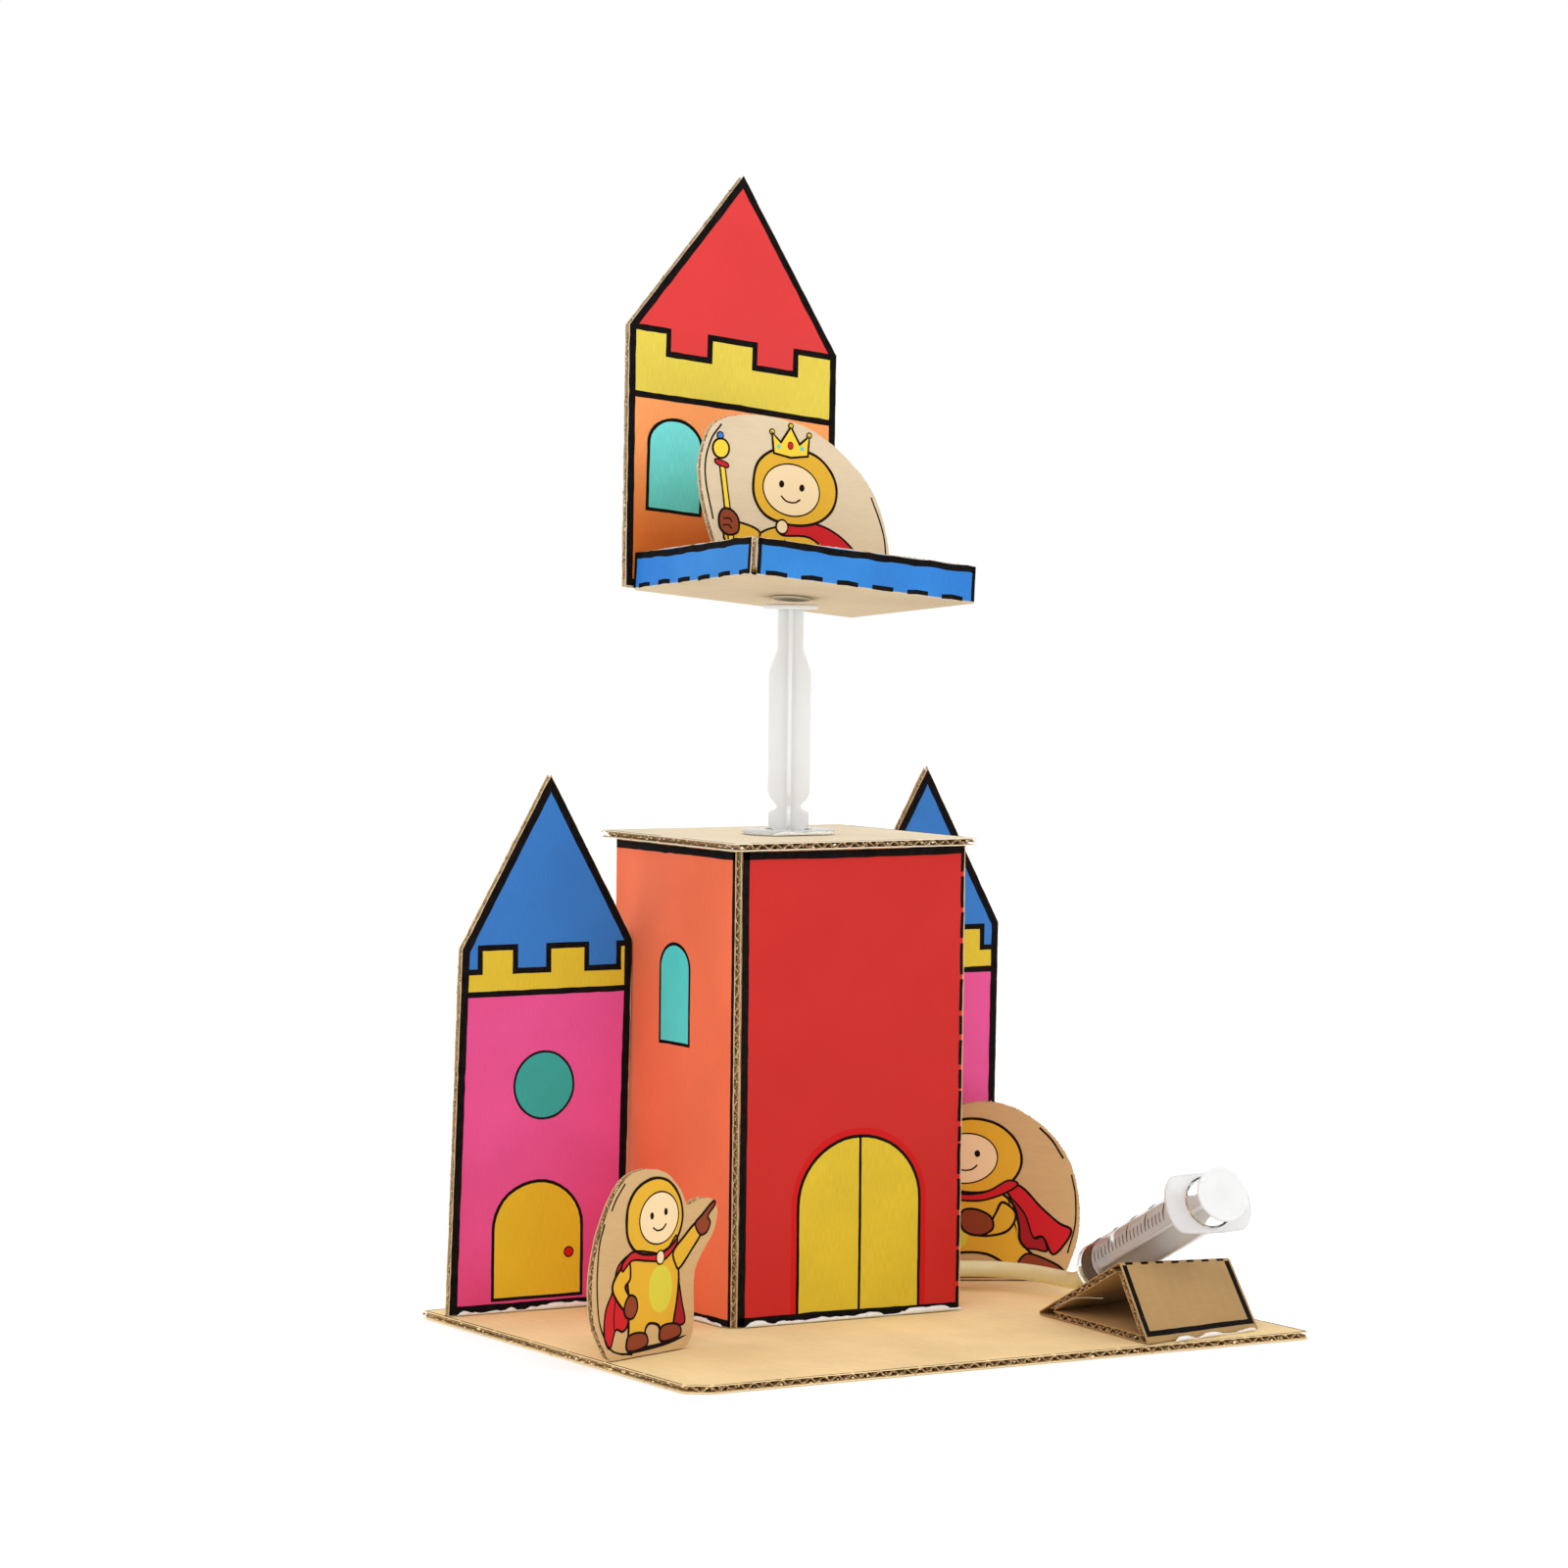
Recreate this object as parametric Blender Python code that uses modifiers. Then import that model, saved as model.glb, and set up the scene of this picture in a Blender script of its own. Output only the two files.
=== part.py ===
"""Cardboard castle with a syringe-driven lift: two syringes joined by a tube raise the throne room.

Units: lengths are written in millimetres and multiplied by MM. The origin is the centre of the
base board's underside, +X to the right of the castle gate, +Y to its back, +Z up.
"""

import math

import bmesh
import bpy
from mathutils import Matrix, Vector

MM = 0.001
OBJECT_NAME = "hydraulic_castle_lift"

# Corrugated board and assembly gaps
BOARD = 3.1 * MM
GAP = 0.3 * MM

# Base board
BASE_WIDTH = 292.0 * MM
BASE_DEPTH = 215.0 * MM
BASE_CORNER_CUT = 9.0 * MM
FLOOR_Z = BOARD + GAP

# Keep: a folded sleeve with a lid
KEEP_WIDTH = 112.0 * MM
KEEP_DEPTH = 96.7 * MM
KEEP_HEIGHT = 193.0 * MM
KEEP_LEFT = -59.65 * MM
KEEP_FRONT = 6.5 * MM
KEEP_RIGHT = KEEP_LEFT + KEEP_WIDTH
KEEP_BACK = KEEP_FRONT + KEEP_DEPTH
LID_Z = FLOOR_Z + KEEP_HEIGHT + GAP
LID_OVERHANG = {"left": 3.0 * MM, "right": 2.5 * MM, "front": 4.0 * MM, "back": 6.0 * MM}

# Syringes, both of one size
BARREL_RADIUS = 10.6 * MM
BORE_RADIUS = 9.7 * MM
BARREL_LENGTH = 95.0 * MM
BARREL_END = 1.5 * MM
FLANGE_LENGTH = 39.0 * MM
FLANGE_WIDTH = 25.0 * MM
FLANGE_THICK = 2.0 * MM
NOZZLE_LENGTH = 12.0 * MM
NOZZLE_RADIUS = 2.4 * MM
PLUNGER_LENGTH = 95.5 * MM
PLATE_RADIUS = 11.25 * MM
RIB_THICK = 1.6 * MM
SEAL_LENGTH = 9.2 * MM
SEAL_RADIUS = 9.38 * MM
STUB_RADIUS = 3.4 * MM
STUB_LENGTH = 5.0 * MM
ROUND_SIDES = 40

# Lift axis, plunger and carriage
LIFT_X = -6.35 * MM
LIFT_Y = 52.1 * MM
LIFT_FLANGE_TOP = LID_Z + BOARD + GAP + FLANGE_THICK
LIFT_PLATE_TOP = LIFT_FLANGE_TOP + 93.2 * MM
LIFT_RIB_TURN = math.radians(-32)
CARRIAGE_Z = 298.3 * MM
CARRIAGE_TURN = math.radians(2.3)
CARRIAGE_PITCH = math.radians(-4.85)
CARRIAGE_ROLL = math.radians(5.9)

# Tray, backdrop and king standee, in the carriage's own frame
TRAY_WIDTH = 111.5 * MM
TRAY_DEPTH = 86.9 * MM
TRAY_LEFT = -52.85 * MM
TRAY_FRONT = -48.35 * MM
TRAY_RIM = 15.6 * MM
BACKDROP_LEFT = -56.8 * MM
BACKDROP_BOTTOM = 1.5 * MM
BACKDROP_LEAN = math.radians(-2.6)

# Towers stand behind the keep's front, one on each side
LEFT_TOWER_Y = 87.5 * MM
RIGHT_TOWER_Y = 93.5 * MM

# Hand syringe and its folded stand
STAND_CORNER = Vector((66.45 * MM, -106.4 * MM, FLOOR_Z))
STAND_WIDTH = 65.0 * MM
STAND_WIDTH_TURN = math.radians(10.5)
STAND_DEPTH_TURN = math.radians(-4.5)
STAND_RIDGE_V = 23.0 * MM
STAND_RIDGE_Z = 30.0 * MM
STAND_DEPTH = 89.0 * MM
STAND_SAG = 0.13
HAND_TIP = Vector((101.05 * MM, -22.6 * MM, 20.6 * MM))
HAND_RISE = math.radians(23.9)
HAND_TURN = math.radians(-5.0)
HAND_PLATE_REST = 12.0 * MM
HAND_RIB_TURN = math.radians(23)

# Standees
HERALD_FOOT = Vector((-143.35 * MM, -43.4 * MM, FLOOR_Z))
HERALD_TURN = math.radians(19.7)
RUNNER_FOOT = Vector((143.35 * MM, 50.5 * MM, FLOOR_Z))
RUNNER_TURN = math.radians(-28.0)

# Tube
TUBE_RADIUS = 3.5 * MM
TUBE_HOLE_RADIUS = 4.3 * MM
TUBE_HOLE_Y = 52.1 * MM
TUBE_HOLE_Z = 12.7 * MM

GLUE_RADIUS = 1.3 * MM


def clear_scene():
    for old in list(bpy.data.objects):
        bpy.data.objects.remove(old, do_unlink=True)
    for old in list(bpy.data.collections):
        bpy.data.collections.remove(old)


def new_collection(name, helper=False):
    made = bpy.data.collections.new(name)
    bpy.context.scene.collection.children.link(made)
    made.hide_render = helper
    return made


def new_material(name, colour, roughness, alpha=1.0):
    made = bpy.data.materials.new(name)
    made.use_nodes = True
    shader = made.node_tree.nodes["Principled BSDF"]
    shader.inputs["Base Color"].default_value = (*colour, 1.0)
    shader.inputs["Roughness"].default_value = roughness
    shader.inputs["Metallic"].default_value = 0.0
    shader.inputs["Alpha"].default_value = alpha
    made.diffuse_color = (*colour, alpha)
    return made


clear_scene()
PARTS = new_collection(OBJECT_NAME)
CUTTERS = new_collection("cutters", helper=True)

KRAFT = (0.72, 0.54, 0.32)
COLOURS = {
    "base": (KRAFT, 0.9),
    "keep": ((0.64, 0.032, 0.027), 0.75),
    "lid": ((0.69, 0.6, 0.44), 0.9),
    "tower": ((0.71, 0.09, 0.25), 0.75),
    "tray": ((0.044, 0.26, 0.68), 0.7),
    "backdrop": ((0.79, 0.057, 0.057), 0.75),
    "standee": ((0.6, 0.42, 0.22), 0.85),
    "stand": ((0.41, 0.25, 0.1), 0.9),
    "barrel": ((0.85, 0.88, 0.9), 0.15, 0.4),
    "plunger": ((0.85, 0.87, 0.88), 0.35),
    "seal": ((0.02, 0.02, 0.022), 0.5),
    "tube": ((0.72, 0.75, 0.42), 0.25),
    "glue": ((0.85, 0.82, 0.74), 0.35),
}
MATERIALS = {name: new_material(name, *values) for name, values in COLOURS.items()}


def link(obj, material, parent=None):
    """Puts a finished piece in the parts collection, with its material and parent."""
    for old in list(obj.users_collection):
        old.objects.unlink(obj)
    PARTS.objects.link(obj)
    if material:
        obj.data.materials.clear()
        obj.data.materials.append(MATERIALS[material])
    obj.parent = parent
    return obj


def empty(name, matrix, parent=None):
    made = bpy.data.objects.new(name, None)
    PARTS.objects.link(made)
    made.parent = parent
    made.matrix_local = matrix
    return made


def mesh_object(name, work):
    """A mesh object made by the function work, which fills a bmesh."""
    mesh = bpy.data.meshes.new(name)
    cage = bmesh.new()
    work(cage)
    bmesh.ops.recalc_face_normals(cage, faces=cage.faces)
    cage.to_mesh(mesh)
    cage.free()
    return bpy.data.objects.new(name, mesh)


def mend_normals(mesh, merge=0.0):
    """Turns every face outwards, after joining points closer than merge."""
    cage = bmesh.new()
    cage.from_mesh(mesh)
    if merge:
        bmesh.ops.remove_doubles(cage, verts=cage.verts, dist=merge)
    bmesh.ops.recalc_face_normals(cage, faces=cage.faces)
    cage.to_mesh(mesh)
    cage.free()


def curve_to_mesh(curve_object):
    """Swaps a filled or bevelled curve for a closed mesh of the same name."""
    name = curve_object.name
    bpy.context.scene.collection.objects.link(curve_object)
    bpy.context.view_layer.update()
    graph = bpy.context.evaluated_depsgraph_get()
    mesh = bpy.data.meshes.new_from_object(curve_object.evaluated_get(graph))
    mend_normals(mesh, 0.00001)
    curve = curve_object.data
    bpy.data.objects.remove(curve_object, do_unlink=True)
    bpy.data.curves.remove(curve)
    mesh.name = name
    return bpy.data.objects.new(name, mesh)


def flat_sheet(name, outlines, thickness):
    """A flat plate in local XY from one outer outline and any holes; its faces are at +-thickness/2."""
    curve = bpy.data.curves.new(name, "CURVE")
    curve.dimensions = "2D"
    curve.fill_mode = "BOTH"
    curve.extrude = thickness / 2
    for outline in outlines:
        spline = curve.splines.new("POLY")
        spline.points.add(len(outline) - 1)
        for point, (x, y) in zip(spline.points, outline):
            point.co = (x, y, 0.0, 1.0)
        spline.use_cyclic_u = True
    return curve_to_mesh(bpy.data.objects.new(name, curve))


def circle(radius, sides=ROUND_SIDES, centre=(0.0, 0.0)):
    turns = [2 * math.pi * i / sides for i in range(sides)]
    return [(centre[0] + radius * math.cos(t), centre[1] + radius * math.sin(t)) for t in turns]


def smooth_outline(points, per_side=3):
    """A closed Catmull-Rom outline through hand-placed points, given in millimetres."""
    count = len(points)
    out = []
    for i in range(count):
        a, b, c, d = (Vector(points[(i + k) % count]) * MM for k in (-1, 0, 1, 2))
        for step in range(per_side):
            t = step / per_side
            out.append(
                0.5 * (2 * b + (c - a) * t + (2 * a - 5 * b + 4 * c - d) * t**2
                       + (3 * b - 3 * c + d - a) * t**3)
            )
    lowest = min(y for _, y in points) * MM
    return [(p.x, max(p.y, lowest)) for p in out]


# A standing board: local X runs along it, local Y is up, and its printed face looks along local +Z.
STANDING = Matrix(((1, 0, 0, 0), (0, 0, -1, 0), (0, 1, 0, 0), (0, 0, 0, 1)))


def standing_board(name, outlines, foot, turn, material, parent=None, lean=0.0):
    """A board on edge whose printed face passes through foot, turned about Z and leaning about its foot."""
    board = flat_sheet(name, outlines, BOARD)
    place = Matrix.Translation(foot) @ Matrix.Rotation(turn, 4, "Z") @ Matrix.Rotation(lean, 4, "X")
    link(board, material, parent)
    board.matrix_local = place @ STANDING @ Matrix.Translation((0, 0, -BOARD / 2))
    return board


def box_object(name, low, high):
    def work(cage):
        bmesh.ops.create_cube(cage, size=1.0)
        size = [b - a for a, b in zip(low, high)]
        middle = [(a + b) / 2 for a, b in zip(low, high)]
        bmesh.ops.scale(cage, vec=size, verts=cage.verts)
        bmesh.ops.translate(cage, vec=middle, verts=cage.verts)

    return mesh_object(name, work)


def cylinder_object(name, radius, low, high, sides=ROUND_SIDES):
    def work(cage):
        bmesh.ops.create_cone(
            cage, cap_ends=True, segments=sides, radius1=radius, radius2=radius, depth=high - low
        )
        bmesh.ops.translate(cage, vec=(0, 0, (low + high) / 2), verts=cage.verts)

    return mesh_object(name, work)


def cutter(obj):
    CUTTERS.objects.link(obj)
    obj.hide_render = True
    obj.display_type = "WIRE"
    return obj


def boolean(target, other, operation):
    """Adds a Boolean modifier; the other object shares the target's local frame through its parent."""
    cutter(other)
    if operation == "UNION":
        other.parent = target
    step = target.modifiers.new(other.name, "BOOLEAN")
    step.operation = operation
    step.object = other
    return target


def turned(name, profile, sides=ROUND_SIDES, closed=True):
    """A turned solid about local Z. The profile lists (radius, z) and starts down its outer side."""
    def work(cage):
        corners = [cage.verts.new((r, 0.0, z)) for r, z in profile]
        pairs = list(zip(corners, corners[1:]))
        if closed:
            pairs.append((corners[-1], corners[0]))
        for pair in pairs:
            cage.edges.new(pair)

    obj = mesh_object(name, work)
    screw = obj.modifiers.new("turn", "SCREW")
    screw.axis = "Z"
    screw.angle = 2 * math.pi
    screw.steps = sides
    screw.render_steps = sides
    screw.use_merge_vertices = True
    screw.merge_threshold = 0.00001
    screw.use_smooth_shade = True
    return obj


def build_base():
    half_w = BASE_WIDTH / 2
    half_d = BASE_DEPTH / 2
    outline = [
        (-half_w + BASE_CORNER_CUT, -half_d),
        (half_w, -half_d),
        (half_w, half_d),
        (-half_w, half_d),
        (-half_w, -half_d + BASE_CORNER_CUT * 0.7),
    ]
    board = link(flat_sheet("base_plate", [outline], BOARD), "base")
    board.location.z = BOARD / 2


def build_keep():
    """The sleeve is one strip folded at three corners; the left wall's cut end shows at the front."""
    inner_left = KEEP_LEFT + BOARD
    inner_right = KEEP_RIGHT - BOARD
    inner_front = KEEP_FRONT + BOARD
    inner_back = KEEP_BACK - BOARD
    outline = [
        (KEEP_LEFT, KEEP_FRONT),
        (inner_left, KEEP_FRONT),
        (inner_left, inner_back),
        (inner_right, inner_back),
        (inner_right, inner_front),
        (inner_left + GAP, inner_front),
        (inner_left + GAP, KEEP_FRONT),
        (KEEP_RIGHT, KEEP_FRONT),
        (KEEP_RIGHT, KEEP_BACK),
        (KEEP_LEFT, KEEP_BACK),
    ]
    sleeve = link(flat_sheet("keep_walls", [outline], KEEP_HEIGHT), "keep")
    sleeve.location.z = FLOOR_Z + KEEP_HEIGHT / 2
    hole = cylinder_object("tube_hole", TUBE_HOLE_RADIUS, -3 * BOARD, 3 * BOARD, 24)
    hole.matrix_world = (
        Matrix.Translation((KEEP_RIGHT, TUBE_HOLE_Y, TUBE_HOLE_Z)) @ Matrix.Rotation(math.pi / 2, 4, "Y")
    )
    boolean(sleeve, hole, "DIFFERENCE")

    left = KEEP_LEFT - LID_OVERHANG["left"]
    right = KEEP_RIGHT + LID_OVERHANG["right"]
    front = KEEP_FRONT - LID_OVERHANG["front"]
    back = KEEP_BACK + LID_OVERHANG["back"]
    outline = [(left, front), (right, front), (right, back), (left, back)]
    hole = circle(BARREL_RADIUS + 0.5 * MM, centre=(LIFT_X, LIFT_Y))
    lid = link(flat_sheet("keep_lid", [outline, hole], BOARD), "lid")
    lid.location.z = LID_Z + BOARD / 2


def build_towers():
    """Outlines in millimetres from the base line; both towers lean a little, as cut by hand."""
    left = [(-145.2, 0), (-63.2, 0), (-60.1, 152), (-99.6, 221), (-140.4, 150)]
    right = [(52.7, 0), (126.9, 0), (128.1, 153), (90.1, 221), (52.7, 155)]
    for name, outline, y in (("left_tower", left, LEFT_TOWER_Y), ("right_tower", right, RIGHT_TOWER_Y)):
        points = [(x * MM, z * MM) for x, z in outline]
        standing_board(name, [points], (0, y, FLOOR_Z), 0.0, "tower")


def build_carriage():
    """Tray, backdrop and king, tilted together as they are glued on the plunger's thumb plate."""
    tilt = (
        Matrix.Rotation(CARRIAGE_TURN, 4, "Z")
        @ Matrix.Rotation(CARRIAGE_PITCH, 4, "X")
        @ Matrix.Rotation(CARRIAGE_ROLL, 4, "Y")
    )
    frame = empty("carriage_frame", Matrix.Translation((LIFT_X, LIFT_Y, CARRIAGE_Z)) @ tilt)
    right = TRAY_LEFT + TRAY_WIDTH
    back = TRAY_FRONT + TRAY_DEPTH
    tray = box_object("lift_tray", (TRAY_LEFT, TRAY_FRONT, 0), (right, back, BOARD))
    rims = {
        "left_rim": ((TRAY_LEFT, TRAY_FRONT, BOARD / 2), (TRAY_LEFT + BOARD, back, TRAY_RIM)),
        "right_rim": ((right - BOARD, TRAY_FRONT + BOARD + GAP, BOARD / 2), (right, back, TRAY_RIM)),
        "front_rim": (
            (TRAY_LEFT + BOARD + GAP, TRAY_FRONT, BOARD / 2),
            (right, TRAY_FRONT + BOARD, TRAY_RIM),
        ),
    }
    link(tray, "tray", frame)
    for name, (low, high) in rims.items():
        boolean(tray, box_object(name, low, high), "UNION")

    backdrop = [(0, 0), (104.2, 0), (103.6, 110.8), (53.6, 182.0), (-1.6, 110.4)]
    standing_board(
        "lift_backdrop",
        [[(x * MM, z * MM) for x, z in backdrop]],
        (BACKDROP_LEFT, back + GAP, BACKDROP_BOTTOM),
        0.0,
        "backdrop",
        frame,
        BACKDROP_LEAN,
    )
    king = [
        (-33.5, 3.6), (-36.5, 14), (-43.8, 31), (-47.6, 48), (-45.4, 61), (-40, 69), (-25.6, 73.2),
        (-8.8, 73.4), (8, 70), (26, 60.2), (39.6, 47), (47, 30), (49.2, 15), (47.4, 3.6), (30, 3.6),
        (7, 3.6), (-16, 3.6),
    ]
    standing_board("king_standee", [smooth_outline(king)], (0, 0, 0), 0.0, "standee", frame)
    return frame


def build_standees():
    """Outlines in millimetres: along the foot from its left corner, and up from the base."""
    herald = [
        (0, 0.3), (-5.4, 6), (-11, 17), (-12.1, 32), (-9, 46), (-2.8, 59), (6, 69.6), (18, 73), (31, 70.8),
        (40.2, 63.4), (44.6, 56.8), (52, 58.4), (59.4, 58), (63.4, 53.6), (61.4, 45.4), (55, 38), (49.6, 30),
        (49.2, 19), (49, 8), (46, 2), (41.5, 0.3), (28, 0.3), (14, 0.3),
    ]
    runner = [
        (-64, 0.3), (-37, 0.3), (-10, 0.3), (-3.6, 9), (-0.4, 20), (0, 31), (-1.4, 42), (-5, 52.6),
        (-11, 61.6), (-19, 69), (-28.6, 74.6), (-39, 77.4), (-50, 76.6), (-60, 72), (-68.4, 64),
        (-74, 53), (-77, 40.6), (-77, 28), (-74.4, 15), (-70, 6),
    ]
    standing_board("herald_standee", [smooth_outline(herald)], HERALD_FOOT, HERALD_TURN, "standee")
    standing_board("runner_standee", [smooth_outline(runner)], RUNNER_FOOT, RUNNER_TURN, "standee")


def inset_triangle(corners, margin):
    """The triangle whose sides lie margin inside those of the given one."""
    a, b, c = (Vector(p) for p in corners)
    sides = ((b - c).length, (c - a).length, (a - b).length)
    total = sum(sides)
    centre = (a * sides[0] + b * sides[1] + c * sides[2]) / total
    area = abs((b - a).x * (c - a).y - (b - a).y * (c - a).x) / 2
    shrink = 1 - margin / (2 * area / total)
    return [tuple(centre + (p - centre) * shrink) for p in (a, b, c)]


def build_stand():
    """A strip folded into a three-sided tunnel; hand folding left it skewed and lower on the right."""
    outer = [(0.0, 0.0), (STAND_DEPTH, 0.0), (STAND_RIDGE_V, STAND_RIDGE_Z)]
    inner = inset_triangle(outer, BOARD)
    stand = flat_sheet("syringe_stand", [outer, inner], STAND_WIDTH)
    along = Vector((math.cos(STAND_WIDTH_TURN), math.sin(STAND_WIDTH_TURN), 0))
    back = Vector((-math.sin(STAND_DEPTH_TURN), math.cos(STAND_DEPTH_TURN), 0))
    for vertex in stand.data.vertices:
        v, z, u = vertex.co
        u += STAND_WIDTH / 2
        z *= 1 - STAND_SAG * u / STAND_WIDTH
        vertex.co = along * u + back * v + Vector((0, 0, z))
    mend_normals(stand.data)
    link(stand, "stand")
    stand.location = STAND_CORNER


def barrel(name, matrix):
    """A syringe barrel: local Z runs from the shoulder at the tip, z = 0, to the flange's outer face."""
    bore_end = BARREL_END
    hole = 1.1 * MM
    profile = [
        (BARREL_RADIUS, BARREL_LENGTH),
        (BARREL_RADIUS, 1.0 * MM),
        (BARREL_RADIUS - 1.0 * MM, 0.0),
        (NOZZLE_RADIUS + 0.9 * MM, 0.0),
        (NOZZLE_RADIUS + 0.3 * MM, -1.5 * MM),
        (NOZZLE_RADIUS, -NOZZLE_LENGTH),
        (hole, -NOZZLE_LENGTH),
        (hole, bore_end),
        (BORE_RADIUS, bore_end),
        (BORE_RADIUS, BARREL_LENGTH),
    ]
    made = link(turned(name, profile), "barrel")
    made.matrix_local = matrix
    ear = FLANGE_LENGTH / 2 - 8 * MM
    oval = []
    for i in range(ROUND_SIDES):
        turn = 2 * math.pi * i / ROUND_SIDES
        side = math.copysign(ear, math.cos(turn)) if abs(math.cos(turn)) > 1e-6 else 0.0
        oval.append((side + 8 * MM * math.cos(turn), FLANGE_WIDTH / 2 * math.sin(turn)))
    ring = (BARREL_RADIUS + BORE_RADIUS) / 2
    flange = flat_sheet(name + "_flange", [oval, circle(ring)], FLANGE_THICK)
    shift = BARREL_LENGTH - FLANGE_THICK / 2
    flange.data.transform(Matrix.Translation((0, 0, shift)))
    boolean(made, flange, "UNION")
    return made


def plunger(name, matrix, parent):
    """A cross-ribbed plunger: local Z = 0 is the outer face of its thumb plate, and it runs down from there."""
    side = [
        (5.3, -1.0), (5.3, -18.4), (8.8, -28.4), (8.8, -78.0), (7.6, -80.4), (5.0, -84.0), (8.4, -86.4),
        (8.4, -91.6), (6.6, -93.6), (6.6, -94.6),
    ]
    outline = [(x * MM, z * MM) for x, z in side] + [(-x * MM, z * MM) for x, z in reversed(side)]
    made = flat_sheet(name, [outline], RIB_THICK)
    made.data.transform(Matrix.Rotation(math.pi / 2, 4, "X"))
    link(made, "plunger", parent)
    made.matrix_local = matrix
    other = flat_sheet(name + "_rib", [outline], RIB_THICK)
    other.data.transform(Matrix.Rotation(math.pi / 2, 4, "Z") @ Matrix.Rotation(math.pi / 2, 4, "X"))
    end = -PLUNGER_LENGTH
    pieces = [
        other,
        cylinder_object(name + "_plate", PLATE_RADIUS, -2.0 * MM, 0.0),
        cylinder_object(name + "_disc", 8.6 * MM, end, end + 1.6 * MM),
        cylinder_object(name + "_stub", STUB_RADIUS, end - STUB_LENGTH, end + 0.8 * MM, 20),
    ]
    for piece in pieces:
        boolean(made, piece, "UNION")
    return made


def seal(name, matrix, parent):
    """A rubber seal with two lips: local Z = 0 is its open end, which holds the plunger's stub."""
    lip = SEAL_RADIUS
    waist = SEAL_RADIUS - 0.6 * MM
    socket = STUB_RADIUS + GAP
    profile = [
        (lip, 0.0),
        (lip, -1.8 * MM),
        (waist, -2.6 * MM),
        (waist, -5.0 * MM),
        (lip, -5.8 * MM),
        (lip, -7.4 * MM),
        (0.0, -SEAL_LENGTH),
        (0.0, -STUB_LENGTH - 2 * GAP),
        (socket, -STUB_LENGTH - 2 * GAP),
        (socket, 0.0),
    ]
    # The two axis points stay unjoined: the line between them would have no surface to turn.
    start = profile.index((0.0, -STUB_LENGTH - 2 * GAP))
    ring = profile[start:] + profile[:start]
    made = link(turned(name, ring, closed=False), "seal", parent)
    made.matrix_local = matrix
    return made


def build_syringes():
    lift_axis = empty("lift_slide_axis", Matrix.Translation((LIFT_X, LIFT_Y, LIFT_PLATE_TOP)))
    barrel("lift_barrel", Matrix.Translation((LIFT_X, LIFT_Y, LIFT_FLANGE_TOP - BARREL_LENGTH)))
    plunger("lift_plunger", Matrix.Rotation(LIFT_RIB_TURN, 4, "Z"), lift_axis)
    seal_top = Matrix.Translation((0, 0, -PLUNGER_LENGTH - GAP))
    seal("lift_seal", seal_top, lift_axis)

    # The hand syringe's axis runs from its tip up to its flange, towards the front of the base.
    axis = Vector((
        math.sin(HAND_TURN) * math.cos(HAND_RISE),
        -math.cos(HAND_TURN) * math.cos(HAND_RISE),
        math.sin(HAND_RISE),
    ))
    across = axis.cross(Vector((0, 0, 1))).normalized()
    up = axis.cross(across)
    turn = Matrix((across, up, axis)).transposed().to_4x4()
    barrel("hand_barrel", Matrix.Translation(HAND_TIP) @ turn)
    plate = HAND_TIP + axis * (BARREL_LENGTH + HAND_PLATE_REST)
    hand_axis = empty("hand_slide_axis", Matrix.Translation(plate) @ turn)
    plunger("hand_plunger", Matrix.Rotation(HAND_RIB_TURN, 4, "Z"), hand_axis)
    seal("hand_seal", seal_top, hand_axis)


# Route of the tube's centre line in millimetres, from the lift syringe's nozzle to the hand syringe's.
TUBE_ROUTE = [
    (-6.35, 52.1, 94.8),
    (-6.3, 52.1, 82.0),
    (-5.2, 52.1, 67.0),
    (-1.2, 52.1, 51.6),
    (7.6, 52.1, 37.0),
    (20.6, 52.1, 25.4),
    (35.6, 52.1, 17.4),
    (50.8, 52.3, 12.9),
    (63.5, 54.2, 11.8),
    (74.4, 55.2, 12.0),
    (84.8, 53.6, 12.1),
    (94.2, 48.8, 12.0),
    (101.7, 41.4, 11.8),
    (106.4, 32.0, 11.6),
    (108.0, 21.6, 11.5),
    (107.4, 11.4, 11.7),
    (105.6, 3.0, 12.2),
    (103.5, -4.4, 13.5),
    (102.05, -11.2, 15.9),
]


def smooth_route(points, per_step):
    """Points along a Catmull-Rom curve through the route, in metres."""
    ends = [2 * Vector(points[0]) - Vector(points[1]), 2 * Vector(points[-1]) - Vector(points[-2])]
    line = [ends[0]] + [Vector(p) for p in points] + [ends[1]]
    out = []
    for a, b, c, d in zip(line, line[1:], line[2:], line[3:]):
        for step in range(per_step):
            t = step / per_step
            out.append(
                0.5 * (2 * b + (c - a) * t + (2 * a - 5 * b + 4 * c - d) * t**2
                       + (3 * b - 3 * c + d - a) * t**3) * MM
            )
    out.append(line[-2] * MM)
    return out


def round_wire(name, points, radius, material, sides=2, parent=None):
    """A bevelled poly curve with filled caps through the points, which are in metres."""
    curve = bpy.data.curves.new(name, "CURVE")
    curve.dimensions = "3D"
    curve.bevel_depth = radius
    curve.bevel_resolution = sides
    curve.use_fill_caps = True
    spline = curve.splines.new("POLY")
    spline.points.add(len(points) - 1)
    for point, place in zip(spline.points, points):
        point.co = (*place, 1.0)
    wire = link(bpy.data.objects.new(name, curve), material, parent)
    return wire


def glue_bead(name, start, end, parent=None, radius=GLUE_RADIUS):
    """A hot-glue bead from start to end, which are its centre points in metres."""
    a = Vector(start)
    b = Vector(end)
    count = max(3, int((b - a).length / (9 * MM)) + 1)
    points = [a.lerp(b, i / (count - 1)) for i in range(count)]
    bead = round_wire(name, points, radius, "glue", 1, parent)
    spline = bead.data.splines[0]
    for i, point in enumerate(spline.points):
        point.radius = 0.78 + 0.2 * math.sin(2.3 * i + len(name))
    return bead


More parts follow.
